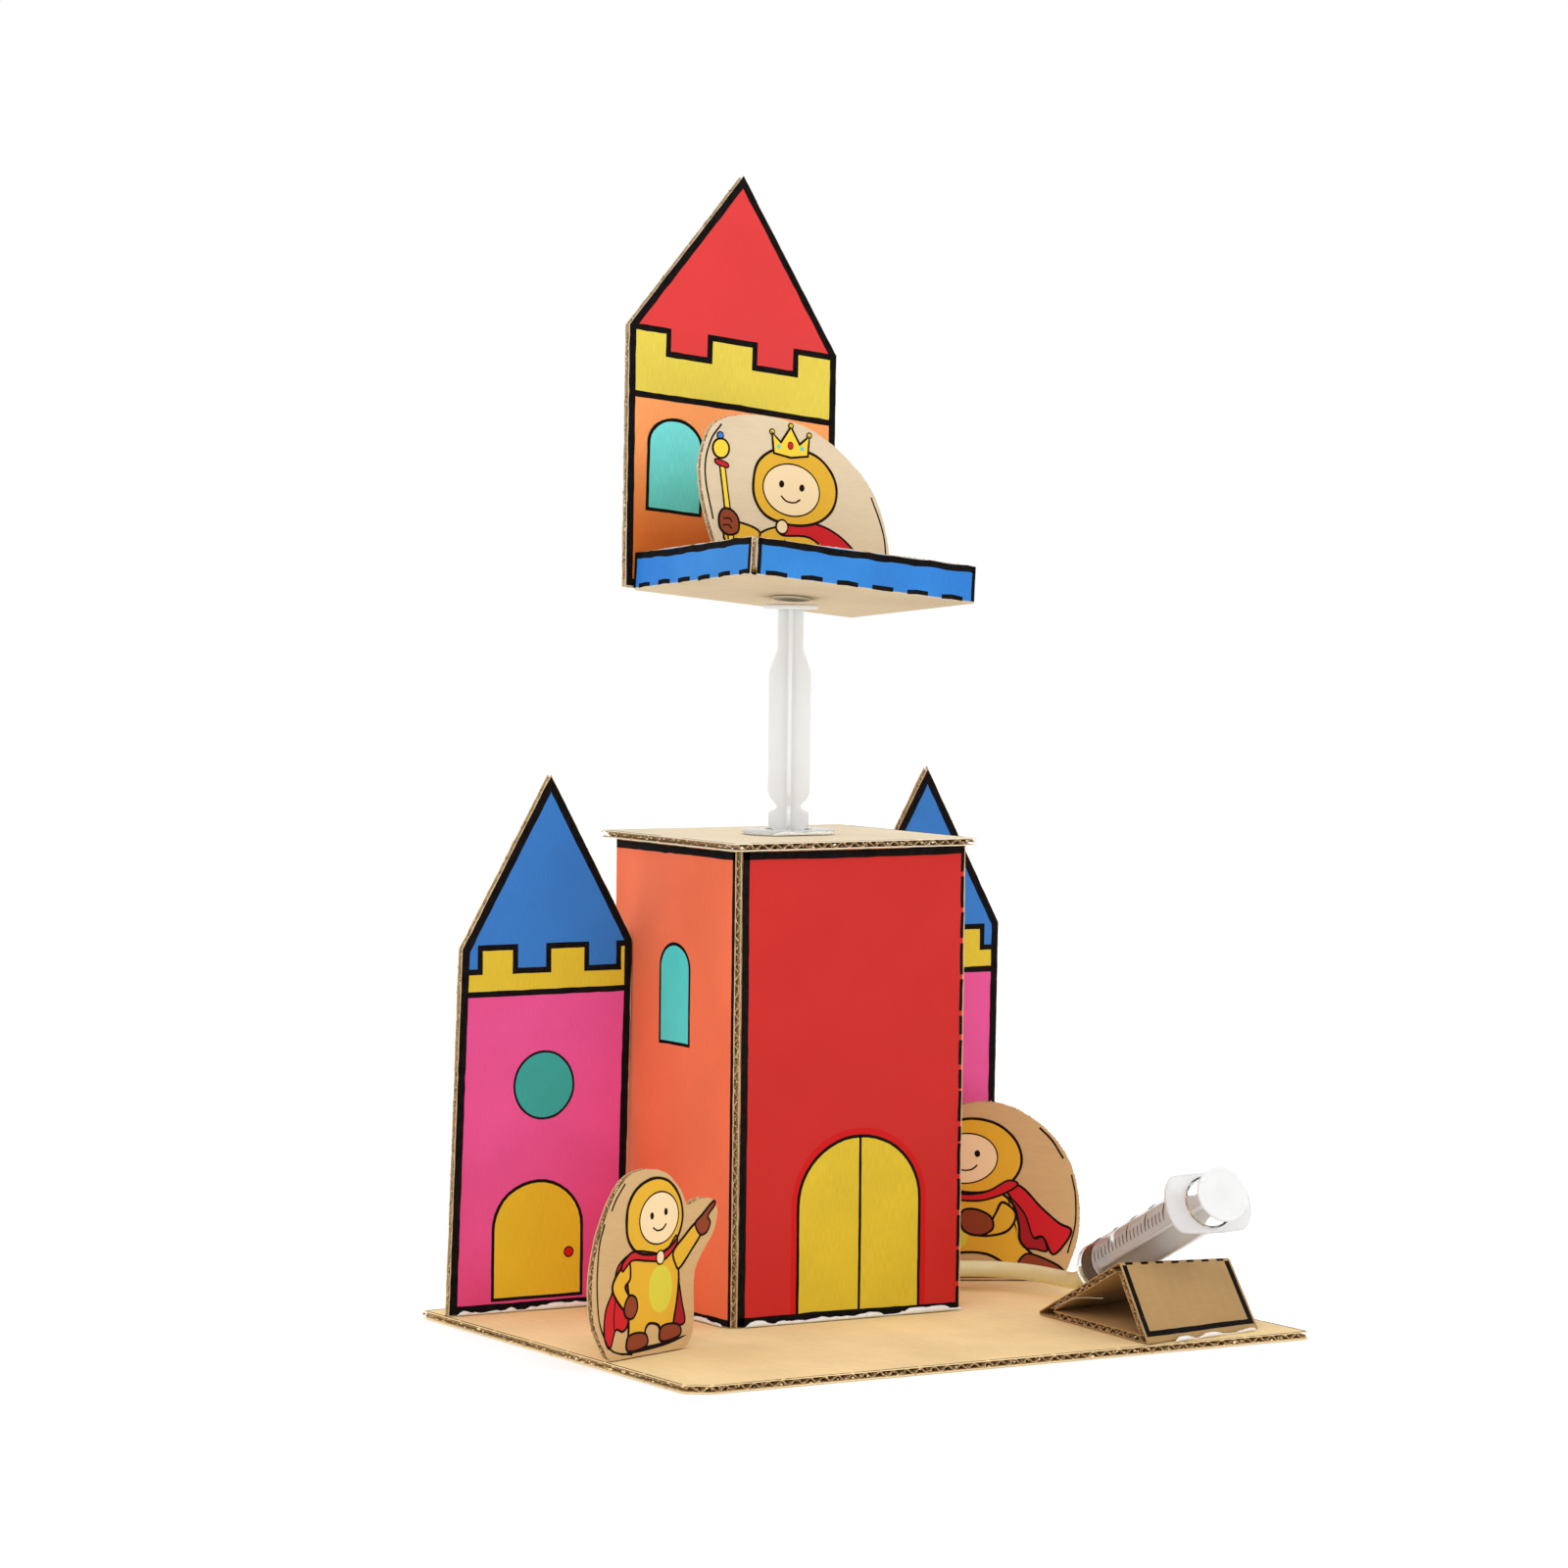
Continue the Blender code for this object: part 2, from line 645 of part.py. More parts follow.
def glue_pad(name, radius, low, high, matrix, parent=None):
    pad = link(cylinder_object(name, radius, low, high, 20), "glue", parent)
    pad.matrix_local = matrix
    return pad


def build_glue(carriage):
    r = GLUE_RADIUS + GAP
    z = FLOOR_Z + GLUE_RADIUS
    # Beads lie in the corners between the base and each standing board.
    glue_bead("glue_keep_front", (KEEP_LEFT + 6 * MM, KEEP_FRONT - r, z), (KEEP_RIGHT, KEEP_FRONT - r, z))
    glue_bead("glue_keep_left", (KEEP_LEFT - r, KEEP_FRONT + 4 * MM, z), (KEEP_LEFT - r, LEFT_TOWER_Y - 4 * MM, z))
    glue_bead(
        "glue_keep_right", (KEEP_RIGHT + r, KEEP_FRONT + 3 * MM, z), (KEEP_RIGHT + r, TUBE_HOLE_Y - 8 * MM, z)
    )
    inner_x = KEEP_LEFT + BOARD + r + GAP
    inner_y = KEEP_FRONT + BOARD + r + GAP
    glue_bead("glue_keep_seam", (inner_x, inner_y, 12 * MM), (inner_x, inner_y, 182 * MM))
    y = LEFT_TOWER_Y - r
    glue_bead("glue_left_tower", (-142 * MM, y, z), (-68 * MM, y, z))
    glue_bead("glue_left_tower_back", (-130 * MM, y + 2 * r + BOARD, z), (-72 * MM, y + 2 * r + BOARD, z))
    y = RIGHT_TOWER_Y - r
    glue_bead("glue_right_tower", (60 * MM, y, z), (122 * MM, y, z))
    glue_bead("glue_right_tower_back", (60 * MM, y + 2 * r + BOARD, z), (120 * MM, y + 2 * r + BOARD, z))
    for name, foot, turn, low, high in (
        ("glue_herald", HERALD_FOOT, HERALD_TURN, 8, 40),
        ("glue_runner", RUNNER_FOOT, RUNNER_TURN, -60, -16),
    ):
        along = Matrix.Rotation(turn, 3, "Z") @ Vector((MM, 0, 0))
        behind = Matrix.Rotation(turn, 3, "Z") @ Vector((0, BOARD + r, GLUE_RADIUS))
        glue_bead(name, foot + along * low + behind, foot + along * high + behind)
    along = Vector((math.cos(STAND_WIDTH_TURN), math.sin(STAND_WIDTH_TURN), 0))
    front = STAND_CORNER + Vector((0, -1.25 * r, 0.75 * GLUE_RADIUS))
    glue_bead("glue_stand", front + along * 14 * MM, front + along * 62 * MM, radius=0.75 * GLUE_RADIUS)

    top = BOARD + GAP + GLUE_RADIUS
    glue_bead("glue_king", (-30 * MM, -r, top), (44 * MM, -r, top), carriage)
    back = TRAY_FRONT + TRAY_DEPTH - r - GAP
    glue_bead("glue_backdrop", (-46 * MM, back, top), (42 * MM, back, top), carriage)
    corner = Vector((TRAY_LEFT + BOARD + r + GAP, TRAY_FRONT + BOARD + r + GAP, 0))
    glue_bead("glue_tray_corner", corner + Vector((0, 0, top + MM)), corner + Vector((0, 0, 14 * MM)), carriage)

    pad_top = -GAP
    glue_pad("glue_thumb_plate", 8.0 * MM, pad_top - 0.9 * MM, pad_top, Matrix.Identity(4), carriage)
    low = LIFT_FLANGE_TOP - FLANGE_THICK + 1.1 * MM
    glue_bead(
        "glue_lift_flange",
        (LIFT_X - 16 * MM, LIFT_Y - 13.6 * MM, low),
        (LIFT_X + 14 * MM, LIFT_Y - 14.2 * MM, low),
        radius=1.0 * MM,
    )


def main():
    build_base()
    build_keep()
    build_towers()
    carriage = build_carriage()
    build_standees()
    build_stand()
    build_syringes()
    round_wire("hydraulic_tube", smooth_route(TUBE_ROUTE, 2), TUBE_RADIUS, "tube")
    build_glue(carriage)


main()
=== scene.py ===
"""Looks for the cardboard castle with a syringe lift: real corrugated board, painted panels, clear syringes."""

import math

import bmesh
import bpy
from mathutils import Matrix, Vector, geometry, noise


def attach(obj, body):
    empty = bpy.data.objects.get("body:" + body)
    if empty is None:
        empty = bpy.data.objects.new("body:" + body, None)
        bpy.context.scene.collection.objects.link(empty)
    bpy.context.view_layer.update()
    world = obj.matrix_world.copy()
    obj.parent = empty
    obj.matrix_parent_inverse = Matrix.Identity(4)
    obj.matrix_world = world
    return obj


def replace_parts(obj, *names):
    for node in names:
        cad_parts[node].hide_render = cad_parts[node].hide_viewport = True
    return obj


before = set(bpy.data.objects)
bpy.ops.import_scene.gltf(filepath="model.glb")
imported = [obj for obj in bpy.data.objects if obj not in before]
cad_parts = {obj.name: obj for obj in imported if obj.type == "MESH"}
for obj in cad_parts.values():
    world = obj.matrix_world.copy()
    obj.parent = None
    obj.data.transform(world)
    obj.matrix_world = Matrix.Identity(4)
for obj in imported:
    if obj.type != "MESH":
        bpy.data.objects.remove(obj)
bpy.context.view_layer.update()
MM = 0.001
# Vector noise draws its offsets from the clock unless it's seeded.
noise.seed_set(11)

# ---------------------------------------------------------------- sizes, in millimetres, as in the CAD

BOARD = 3.1
GAP = 0.3
LINER = 0.42
MEDIUM = 0.42
FLUTE_PITCH = 6.3
FLOOR_Z = 3.4

KEEP_LEFT, KEEP_RIGHT = -59.65, 52.35
KEEP_FRONT, KEEP_BACK = 6.5, 103.2
KEEP_HEIGHT = 193.0
LID_Z = FLOOR_Z + KEEP_HEIGHT + GAP
LIFT_X, LIFT_Y = -6.35, 52.1
LIFT_FLANGE_TOP = LID_Z + BOARD + GAP + 2.0
LIFT_PLATE_TOP = LIFT_FLANGE_TOP + 93.2
TUBE_HOLE = (52.1, 9.3, 4.3)

BARREL_RADIUS, BORE_RADIUS, BARREL_LENGTH = 10.6, 9.7, 95.0
PLUNGER_LENGTH = 95.5

TRAY_LEFT, TRAY_RIGHT = -52.85, 58.65
TRAY_FRONT, TRAY_BACK = -48.35, 38.55
TRAY_RIM = 15.6

HAND_TIP = Vector((101.05, -22.6, 20.6))
HAND_RISE, HAND_TURN = math.radians(23.9), math.radians(-5.0)
STAND_CORNER = Vector((66.45, -106.4, FLOOR_Z))
STAND_WIDTH, STAND_DEPTH, STAND_SAG = 65.0, 89.0, 0.13
STAND_RIDGE = (23.0, 30.0)

# ---------------------------------------------------------------- camera and tube


def make_camera():
    yaw, pitch, roll = math.radians(31.897), math.radians(-2.7255), math.radians(0.6546)
    ahead = Vector((math.sin(yaw) * math.cos(pitch), math.cos(yaw) * math.cos(pitch), math.sin(pitch)))
    right = Vector((math.cos(yaw), -math.sin(yaw), 0))
    up = right.cross(ahead)
    x = right * math.cos(roll) + up * math.sin(roll)
    y = up * math.cos(roll) - right * math.sin(roll)
    data = bpy.data.cameras.new("camera")
    data.lens = 116.03
    data.sensor_width = 36.0
    data.clip_start = 0.05
    data.clip_end = 50.0
    camera = bpy.data.objects.new("camera", data)
    bpy.context.scene.collection.objects.link(camera)
    turn = Matrix((x, y, -ahead)).transposed().to_4x4()
    camera.matrix_world = Matrix.Translation((-1.11575, -1.7266, 0.3205)) @ turn
    bpy.context.scene.camera = camera


def catmull(points, per_step, closed=False):
    """Points along a Catmull-Rom curve through the given ones."""
    line = [Vector(p) for p in points]
    if closed:
        line = [line[-1], *line, line[0], line[1]]
    else:
        line = [2 * line[0] - line[1], *line, 2 * line[-1] - line[-2]]
    out = []
    for a, b, c, d in zip(line, line[1:], line[2:], line[3:]):
        for step in range(per_step):
            t = step / per_step
            out.append(
                0.5 * (2 * b + (c - a) * t + (2 * a - 5 * b + 4 * c - d) * t**2
                       + (3 * b - 3 * c + d - a) * t**3)
            )
    if not closed:
        out.append(line[-2])
    return out


# ---------------------------------------------------------------- materials


def linear(red, green, blue):
    """Scene-linear colour of an 8-bit display colour."""
    return tuple(
        c / 12.92 if c <= 0.04045 else ((c + 0.055) / 1.055) ** 2.4
        for c in (red / 255, green / 255, blue / 255)
    )


class Finish:
    """A Principled material with a small procedural node tree."""

    def __init__(self, name, roughness=0.6, **sockets):
        self.material = bpy.data.materials.new(name)
        self.material.use_nodes = True
        self.tree = self.material.node_tree
        self.shader = self.tree.nodes["Principled BSDF"]
        self.shader.inputs["Roughness"].default_value = roughness
        for socket, value in sockets.items():
            self.shader.inputs[socket.replace("_", " ")].default_value = value

    def node(self, kind, links=(), **values):
        made = self.tree.nodes.new(kind)
        for key, value in values.items():
            if hasattr(made, key):
                setattr(made, key, value)
            else:
                made.inputs[key.replace("_", " ")].default_value = value
        for socket, source in dict(links).items():
            self.tree.links.new(source, made.inputs[socket])
        return made

    def link(self, source, socket):
        self.tree.links.new(source, self.shader.inputs[socket])

    def noise(self, scale, detail=3.0, stretch=(1, 1, 1), coords="Object", rough=0.55):
        """A noise value, 0 to 1, in object or board coordinates; scale is in waves for each metre."""
        where = self.node("ShaderNodeTexCoord").outputs[coords]
        moved = self.node("ShaderNodeMapping", {"Vector": where}, Scale=stretch)
        made = self.node("ShaderNodeTexNoise", {"Vector": moved.outputs[0]}, Scale=scale, Detail=detail)
        made.inputs["Roughness"].default_value = rough
        return made.outputs["Fac"]

    def ramp(self, value, stops):
        made = self.node("ShaderNodeValToRGB", {"Fac": value})
        ramp = made.color_ramp
        while len(ramp.elements) < len(stops):
            ramp.elements.new(0.5)
        for element, (place, colour) in zip(ramp.elements, stops):
            element.position = place
            element.color = (*colour, 1.0) if len(colour) == 3 else colour
        return made.outputs["Color"]

    def multiply(self, first, second, amount=1.0):
        made = self.node("ShaderNodeMix", data_type="RGBA", blend_type="MULTIPLY")
        made.inputs[0].default_value = amount
        self.tree.links.new(first, made.inputs[6])
        self.tree.links.new(second, made.inputs[7])
        return made.outputs[2]

    def grey(self, value, low, high, start=0.3, end=0.7):
        return self.ramp(value, [(start, (low,) * 3), (end, (high,) * 3)])

    def bump(self, height, strength, distance):
        made = self.node("ShaderNodeBump", {"Height": height}, Strength=strength, Distance=distance)
        self.link(made.outputs[0], "Normal")


def kraft(name, colour, blotch=0.1, flutes=0.0, axis="X", fibre=0.03):
    """Kraft liner: soft blotches, fine fibres, specks and, where asked, the washboard of the flutes as a bump, with
    painted shade in bands along them.
    """
    made = Finish(name, roughness=0.9, Specular_IOR_Level=0.12)
    low = tuple(c * (1 - blotch) for c in colour)
    high = tuple(min(1.0, c * (1 + blotch)) for c in colour)
    base = made.ramp(made.noise(16, 3.0), [(0.32, low), (0.68, high)])
    grain = made.noise(900, 4.0, (1, 0.22, 0.22) if axis == "X" else (0.22, 0.22, 1))
    base = made.multiply(base, made.grey(grain, 1 - fibre, 1 + fibre, 0.32, 0.68))
    speck = made.noise(1500, 1.0)
    base = made.multiply(base, made.grey(speck, 0.72, 1.0, 0.2, 0.3), 0.5)
    height = grain
    if flutes:
        where = made.node("ShaderNodeTexCoord").outputs["UV"]
        wave = made.node("ShaderNodeTexWave", {"Vector": where}, bands_direction=axis)
        # One band for each flute: the chart has 100 mm to a unit, and the node makes 20 bands in 2 pi units.
        wave.inputs["Scale"].default_value = 100 / FLUTE_PITCH * math.pi / 10
        wave.inputs["Distortion"].default_value = 0.4
        # Painted shade: the colour darkens in each flute's band, standing in for the shade of the washboard.
        base = made.multiply(base, made.grey(wave.outputs["Fac"], 1 - flutes, 1.0, 0.0, 1.0))
        height = made.node("ShaderNodeMath", {0: grain, 1: wave.outputs["Fac"]}, operation="ADD").outputs[0]
    made.link(base, "Base Color")
    made.bump(height, 0.16, 0.0002)
    return made.material


def paint(name, colour, streak=0.07, blotch=0.06, roughness=0.5, painted_shade=None, shade_below=None):
    """Poster paint laid on with a flat brush: long streaks, soft blotches, a low sheen.

    shade is a darker colour mixed in wide random patches: painted shade and bounce light standing in for uneven light
    on the panel. fade gives a darker colour, and the heights in millimetres on the board from which and up to which it
    gives way to the first: painted shade, darker towards the bottom of the board.
    """
    made = Finish(name, roughness=roughness, Specular_IOR_Level=0.14)
    low = tuple(c * (1 - blotch) for c in colour)
    high = tuple(min(1.0, c * (1 + blotch)) for c in colour)
    base = made.ramp(made.noise(26, 2.0), [(0.3, low), (0.7, high)])
    stroke = made.noise(26, 4.0, (9, 0.7, 1), "UV", 0.65)
    base = made.multiply(base, made.grey(stroke, 1 - streak, 1 + streak, 0.3, 0.7))
    # Painted shade: a darker colour in wide random patches, standing in for uneven light and bounce light.
    if painted_shade:
        far = tuple(b / max(a, 0.004) for a, b in zip(colour, painted_shade))
        patch = made.noise(9, 2.0, (1, 1, 1), "Object", 0.4)
        base = made.multiply(base, made.ramp(patch, [(0.4, (1, 1, 1)), (0.62, far)]), 0.5)
    # Painted shade: the colour darkens towards the bottom of the board.
    if shade_below:
        lower, start, end = shade_below
        where = made.node("ShaderNodeTexCoord").outputs["UV"]
        height = made.node("ShaderNodeSeparateXYZ", {"Vector": where}).outputs["Y"]
        reach = made.node("ShaderNodeMapRange", {"Value": height}, From_Min=start * 0.01, From_Max=end * 0.01)
        ratio = tuple(b / max(a, 0.004) for a, b in zip(colour, lower))
        base = made.multiply(base, made.ramp(reach.outputs[0], [(0.0, ratio), (1.0, (1, 1, 1))]))
    made.link(base, "Base Color")
    rough = made.grey(made.noise(60, 2.0), roughness - 0.07, roughness + 0.1)
    made.link(rough, "Roughness")
    made.bump(stroke, 0.22, 0.00012)
    return made.material


def ink(name, colour):
    """Black marker: slightly patchy, a little shine."""
    made = Finish(name, roughness=0.7, Specular_IOR_Level=0.05)
    high = tuple(c * 2.0 + 0.002 for c in colour)
    made.link(made.ramp(made.noise(300, 3.0), [(0.35, colour), (0.75, high)]), "Base Color")
    made.bump(made.noise(900, 2.0), 0.2, 0.0001)
    return made.material


def fluted(name):
    """The torn paper of the medium: brown and fibrous, its tone mixed by noise from dark to pale; the dark tone is
    partly fibre colour and partly painted shade for its hollows.
    """
    made = Finish(name, roughness=0.92, Specular_IOR_Level=0.15)
    fibre = made.noise(1300, 4.0)
    stops = [(0.32, linear(116, 82, 50)), (0.5, linear(180, 146, 104)), (0.66, linear(224, 200, 162))]
    made.link(made.ramp(fibre, stops), "Base Color")
    made.bump(fibre, 0.6, 0.0003)
    return made.material


def plastic(name, colour, roughness, transmission, ior=1.45, subsurface=0.0, haze=0.05, alpha=1.0):
    """Moulded plastic with a faint flow pattern in its gloss."""
    made = Finish(name, roughness=roughness, IOR=ior, Transmission_Weight=transmission, Alpha=alpha)
    made.shader.inputs["Subsurface Weight"].default_value = subsurface
    made.shader.inputs["Subsurface Radius"].default_value = (0.004, 0.004, 0.004)
    made.shader.inputs["Subsurface Scale"].default_value = 1.0
    flow = made.noise(180, 2.0, (1, 1, 0.2))
    made.link(made.grey(flow, roughness, roughness + haze), "Roughness")
    low = tuple(c * 0.97 for c in colour)
    made.link(made.ramp(flow, [(0.3, low), (0.7, colour)]), "Base Color")
    made.bump(made.noise(500, 1.0), 0.05, 0.00005)
    return made.material


PALETTE = {
    "base": kraft("kraft_base", linear(240, 212, 158), 0.09, 0.015, "X"),
    "keep": kraft("kraft_keep", linear(205, 176, 132), 0.08, 0.04, "Y"),
    "lid": kraft("kraft_lid", linear(232, 217, 190), 0.06, 0.015, "X"),
    "tower": kraft("kraft_tower", linear(208, 180, 138), 0.08, 0.04, "Y"),
    "tray": kraft("kraft_tray", linear(212, 192, 160), 0.06, 0.03, "X"),
    "backdrop": kraft("kraft_backdrop", linear(212, 190, 156), 0.07, 0.04, "Y"),
    "standee": kraft("kraft_standee", linear(203, 168, 120), 0.06, 0.015, "Y"),
    "disc": kraft("kraft_king_standee", linear(218, 198, 166), 0.05, 0.012, "Y"),
    # The stand's kraft is darker as painted shadow of the hand that holds the syringe.
    "stand": kraft("kraft_stand_painted_shadow", linear(172, 138, 92), 0.12, 0.02, "Y"),
    "medium": fluted("fluted_medium"),
    "black": ink("black_marker", linear(13, 10, 9)),
    "red": paint("paint_red", linear(194, 40, 35), 0.035, 0.03),
    "halo": paint("paint_deep_red", linear(198, 18, 18), 0.05, 0.03),
    "yellow": paint("paint_yellow", linear(214, 184, 48), 0.1, 0.06),
    # orange, pink and sky blue take a second, darker colour as painted shade in wide patches.
    "orange": paint("paint_orange", linear(237, 116, 78), 0.05, 0.05, painted_shade=linear(228, 98, 56)),
    "teal": paint("paint_teal", linear(84, 204, 196), 0.08, 0.08),
    "teal_dark": paint("paint_deep_teal", linear(56, 162, 154), 0.06, 0.06),
    "pink": paint("paint_pink", linear(224, 84, 148), 0.05, 0.05, painted_shade=linear(206, 48, 88)),
    "blue": paint("paint_blue", linear(52, 118, 192), 0.07, 0.07),
    "rim_blue": paint("paint_sky_blue", linear(50, 130, 205), 0.08, 0.1, painted_shade=linear(22, 92, 186)),
    "band": paint("paint_gold", linear(214, 186, 50), 0.08, 0.05),
    "mustard": paint("paint_mustard", linear(220, 182, 40), 0.07, 0.05),
    "coral": paint("paint_coral", linear(214, 57, 56), 0.03, 0.03),
    "lemon": paint("paint_lemon", linear(222, 200, 75), 0.09, 0.05),
    # amber and aqua darken towards the bottom of the backdrop: painted shade.
    "amber": paint("paint_amber", linear(250, 160, 94), 0.07, 0.05, shade_below=(linear(206, 106, 42), 22, 62)),
    "aqua": paint("paint_aqua", linear(122, 234, 232), 0.1, 0.08, shade_below=(linear(96, 200, 190), 36, 70)),
    "suit": paint("print_mustard", linear(222, 172, 48), 0.03, 0.04, 0.6),
    "suit_pale": paint("print_pale_yellow", linear(214, 202, 66), 0.03, 0.04, 0.6),
    "cape": paint("print_red", linear(200, 30, 38), 0.03, 0.04, 0.6),
    "cape_dark": paint("print_dark_red", linear(160, 24, 34), 0.03, 0.04, 0.6),
    "glove": paint("print_brown", linear(138, 62, 34), 0.03, 0.04, 0.6),
    "skin": paint("print_cream", linear(240, 214, 170), 0.02, 0.03, 0.6),
    "gold": paint("print_gold", linear(240, 205, 60), 0.03, 0.04, 0.6),
    "gem_blue": paint("print_blue", linear(60, 120, 200), 0.03, 0.04, 0.6),
    "print_ink": ink("print_black", linear(20, 12, 10)),
    "tick": ink("syringe_print", linear(84, 26, 30)),
    "barrel": plastic("clear_polypropylene", (0.985, 0.99, 0.99), 0.06, 0.97, 1.16, haze=0.05),
    "plunger": plastic("milky_polypropylene", (0.83, 0.835, 0.83), 0.3, 0.08, 1.45, subsurface=0.35),
    "seal": plastic("black_rubber", (0.012, 0.011, 0.011), 0.6, 0.0, 1.3, haze=0.15),
    "tube": plastic("yellowish_pvc", (0.86, 0.87, 0.46), 0.14, 0.1, 1.42, subsurface=0.35),
    "flange": plastic("thick_polypropylene", (0.95, 0.95, 0.95), 0.16, 0.45, 1.4, subsurface=0.2, haze=0.08),
    "pad": plastic("hot_glue_on_board", (0.74, 0.64, 0.48), 0.4, 0.0, 1.4, subsurface=0.1, haze=0.1),
    "glue": plastic("hot_glue", (0.96, 0.95, 0.91), 0.2, 0.12, 1.45, subsurface=0.5, haze=0.1),
}

# ---------------------------------------------------------------- mesh building


class Shape:
    """Closed solids gathered into one mesh piece. Points are in millimetres until place turns them into the frame."""

    def __init__(self, place=Matrix()):
        self.place = place if callable(place) else (lambda p: place @ p)
        self.points, self.faces, self.inks, self.chart = [], [], [], []

    def add(self, points, faces, colour):
        start = len(self.points)
        points = [Vector(p) for p in points]
        self.points += [self.place(p) * MM for p in points]
        self.chart += [(p.x * 0.01, p.y * 0.01) for p in points]
        self.faces += [[i + start for i in face] for face in faces]
        self.inks += [colour] * len(faces)

    def prism(self, loops, low, high, colour):
        """The solid between two heights over an outline and its holes."""
        flat = [p for loop in loops for p in loop]
        count = len(flat)
        caps = geometry.tessellate_polygon([[Vector((p[0], p[1], 0)) for p in loop] for loop in loops])
        points = [(p[0], p[1], low) for p in flat] + [(p[0], p[1], high) for p in flat]
        faces = [list(t) for t in caps] + [[i + count for i in reversed(t)] for t in caps]
        start = 0
        for loop in loops:
            for i in range(len(loop)):
                a, b = start + i, start + (i + 1) % len(loop)
                faces.append([a, b, b + count, a + count])
            start += len(loop)
        self.add(points, faces, colour)

    def rings(self, rings, colour, caps=True, closed=False):
        """A solid through rings of equally many points."""
        size = len(rings[0])
        points = [p for ring in rings for p in ring]
        faces = []
        spans = len(rings) if closed else len(rings) - 1
        for r in range(spans):
            a, b = r * size, (r + 1) % len(rings) * size
            for i in range(size):
                j = (i + 1) % size
                faces.append([a + i, a + j, b + j, b + i])
        if caps and not closed:
            faces.append(list(range(size)))
            faces.append(list(range(len(points) - size, len(points))))
        self.add(points, faces, colour)

    def fill(self, loop, layer, colour, face=BOARD / 2):
        """A painted area on the board's face; a higher layer lies over a lower one."""
        self.prism([loop], face - 0.03, face + 0.045 + 0.028 * layer, colour)

    def line(self, points, width, layer, colour="black", closed=False, wobble=0.16, face=BOARD / 2):
        """A hand-drawn line of nearly even width."""
        loops = ribbon(points, width, closed, wobble)
        self.prism(loops, face - 0.03, face + 0.045 + 0.028 * layer, colour)

    def inked(self, loop, layer, colour, width=0.9, face=BOARD / 2, edge="print_ink"):
        """A printed area with its outline."""
        self.fill(loop, layer, colour, face)
        self.line(loop, width, layer + 1, edge, True, 0.06, face)

    def join(self, other):
        """Takes in another shape's solids."""
        start = len(self.points)
        self.points += other.points
        self.chart += other.chart
        self.inks += other.inks
        self.faces += [[i + start for i in face] for face in other.faces]

    def make(self, name, body, slot, smooth=None):
        mesh = bpy.data.meshes.new(name)
        mesh.from_pydata([tuple(p) for p in self.points], [], self.faces)
        used = sorted(set(self.inks))
        for colour in used:
            mesh.materials.append(PALETTE[colour])
        for face, colour in zip(mesh.polygons, self.inks):
            face.material_index = used.index(colour)
        chart = mesh.uv_layers.new(name="board")
        for loop in mesh.loops:
            chart.data[loop.index].uv = self.chart[loop.vertex_index]
        cage = bmesh.new()
        cage.from_mesh(mesh)
        bmesh.ops.recalc_face_normals(cage, faces=cage.faces)
        cage.to_mesh(mesh)
        cage.free()
        if smooth is not None:
            mesh.shade_smooth()
            mesh.set_sharp_from_angle(angle=math.radians(smooth))
        piece = bpy.data.objects.new(name, mesh)
        bpy.context.scene.collection.objects.link(piece)
        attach(piece, body)
        return piece


def shake(x, y, amount, size=0.09, seed=0.0):
    """A point moved a little by smooth noise, for edges and lines made by hand."""
    moved = noise.noise_vector(Vector((x * size, y * size, seed)))
    return (x + moved.x * amount, y + moved.y * amount)


def resample(points, step, closed):
    """Extra points along each side, so that noise can act on it."""
    pairs = list(zip(points, points[1:] + points[:1])) if closed else list(zip(points, points[1:]))
    out = []
    for a, b in pairs:
        parts = max(1, round(math.dist(a[:2], b[:2]) / step))
        for i in range(parts):
            t = i / parts
            out.append((a[0] + (b[0] - a[0]) * t, a[1] + (b[1] - a[1]) * t))
    if not closed:
        out.append(tuple(points[-1][:2]))
    return out


def ribbon(points, width, closed, wobble):
    """The outline or outlines of a line of this width along the points."""
    line = resample([tuple(p[:2]) for p in points], 4.0, closed)
    line = [shake(x, y, wobble, 0.12, 3.0) for x, y in line]
    left, right = [], []
    count = len(line)
    for i, (x, y) in enumerate(line):
        before = line[i - 1] if closed or i else None
        after = line[(i + 1) % count] if closed or i < count - 1 else None
        one = Vector((x - before[0], y - before[1])) if before else None
        two = Vector((after[0] - x, after[1] - y)) if after else None
        one = (one or two).normalized()
        two = (two or one).normalized()
        across = Vector((-(one.y + two.y), one.x + two.x))
        if across.length < 0.3:
            across = Vector((-two.y, two.x))
        across.normalize()
        reach = 1 / max(0.55, across.dot(Vector((-two.y, two.x))))
        reach *= width / 2 * (1 + 0.16 * noise.noise(Vector((x * 0.2, y * 0.2, 7.0))))
        left.append((x + across.x * reach, y + across.y * reach))
        right.append((x - across.x * reach, y - across.y * reach))
    if closed:
        return [left, right]
    return [left + right[::-1]]


def ellipse(x, y, rx, ry, turn=0.0, sides=36):
    c, s = math.cos(math.radians(turn)), math.sin(math.radians(turn))
    out = []
    for i in range(sides):
        a = 2 * math.pi * i / sides
        u, v = rx * math.cos(a), ry * math.sin(a)
        out.append((x + u * c - v * s, y + u * s + v * c))
    return out


def arch(left, right, bottom, spring, top, sides=18):
    """A round-headed opening."""
    middle, half = (left + right) / 2, (right - left) / 2
    head = [
        (middle + half * math.cos(math.pi * i / sides), spring + (top - spring) * math.sin(math.pi * i / sides))
        for i in range(sides + 1)
    ]
    return [(left, bottom), (right, bottom), *head]


def blob(points, per_step=5):
    return [(p.x, p.y) for p in catmull([(x, y, 0) for x, y in points], per_step, True)]


def curve(points, per_step=5):
    return [(p.x, p.y) for p in catmull([(x, y, 0) for x, y in points], per_step)]


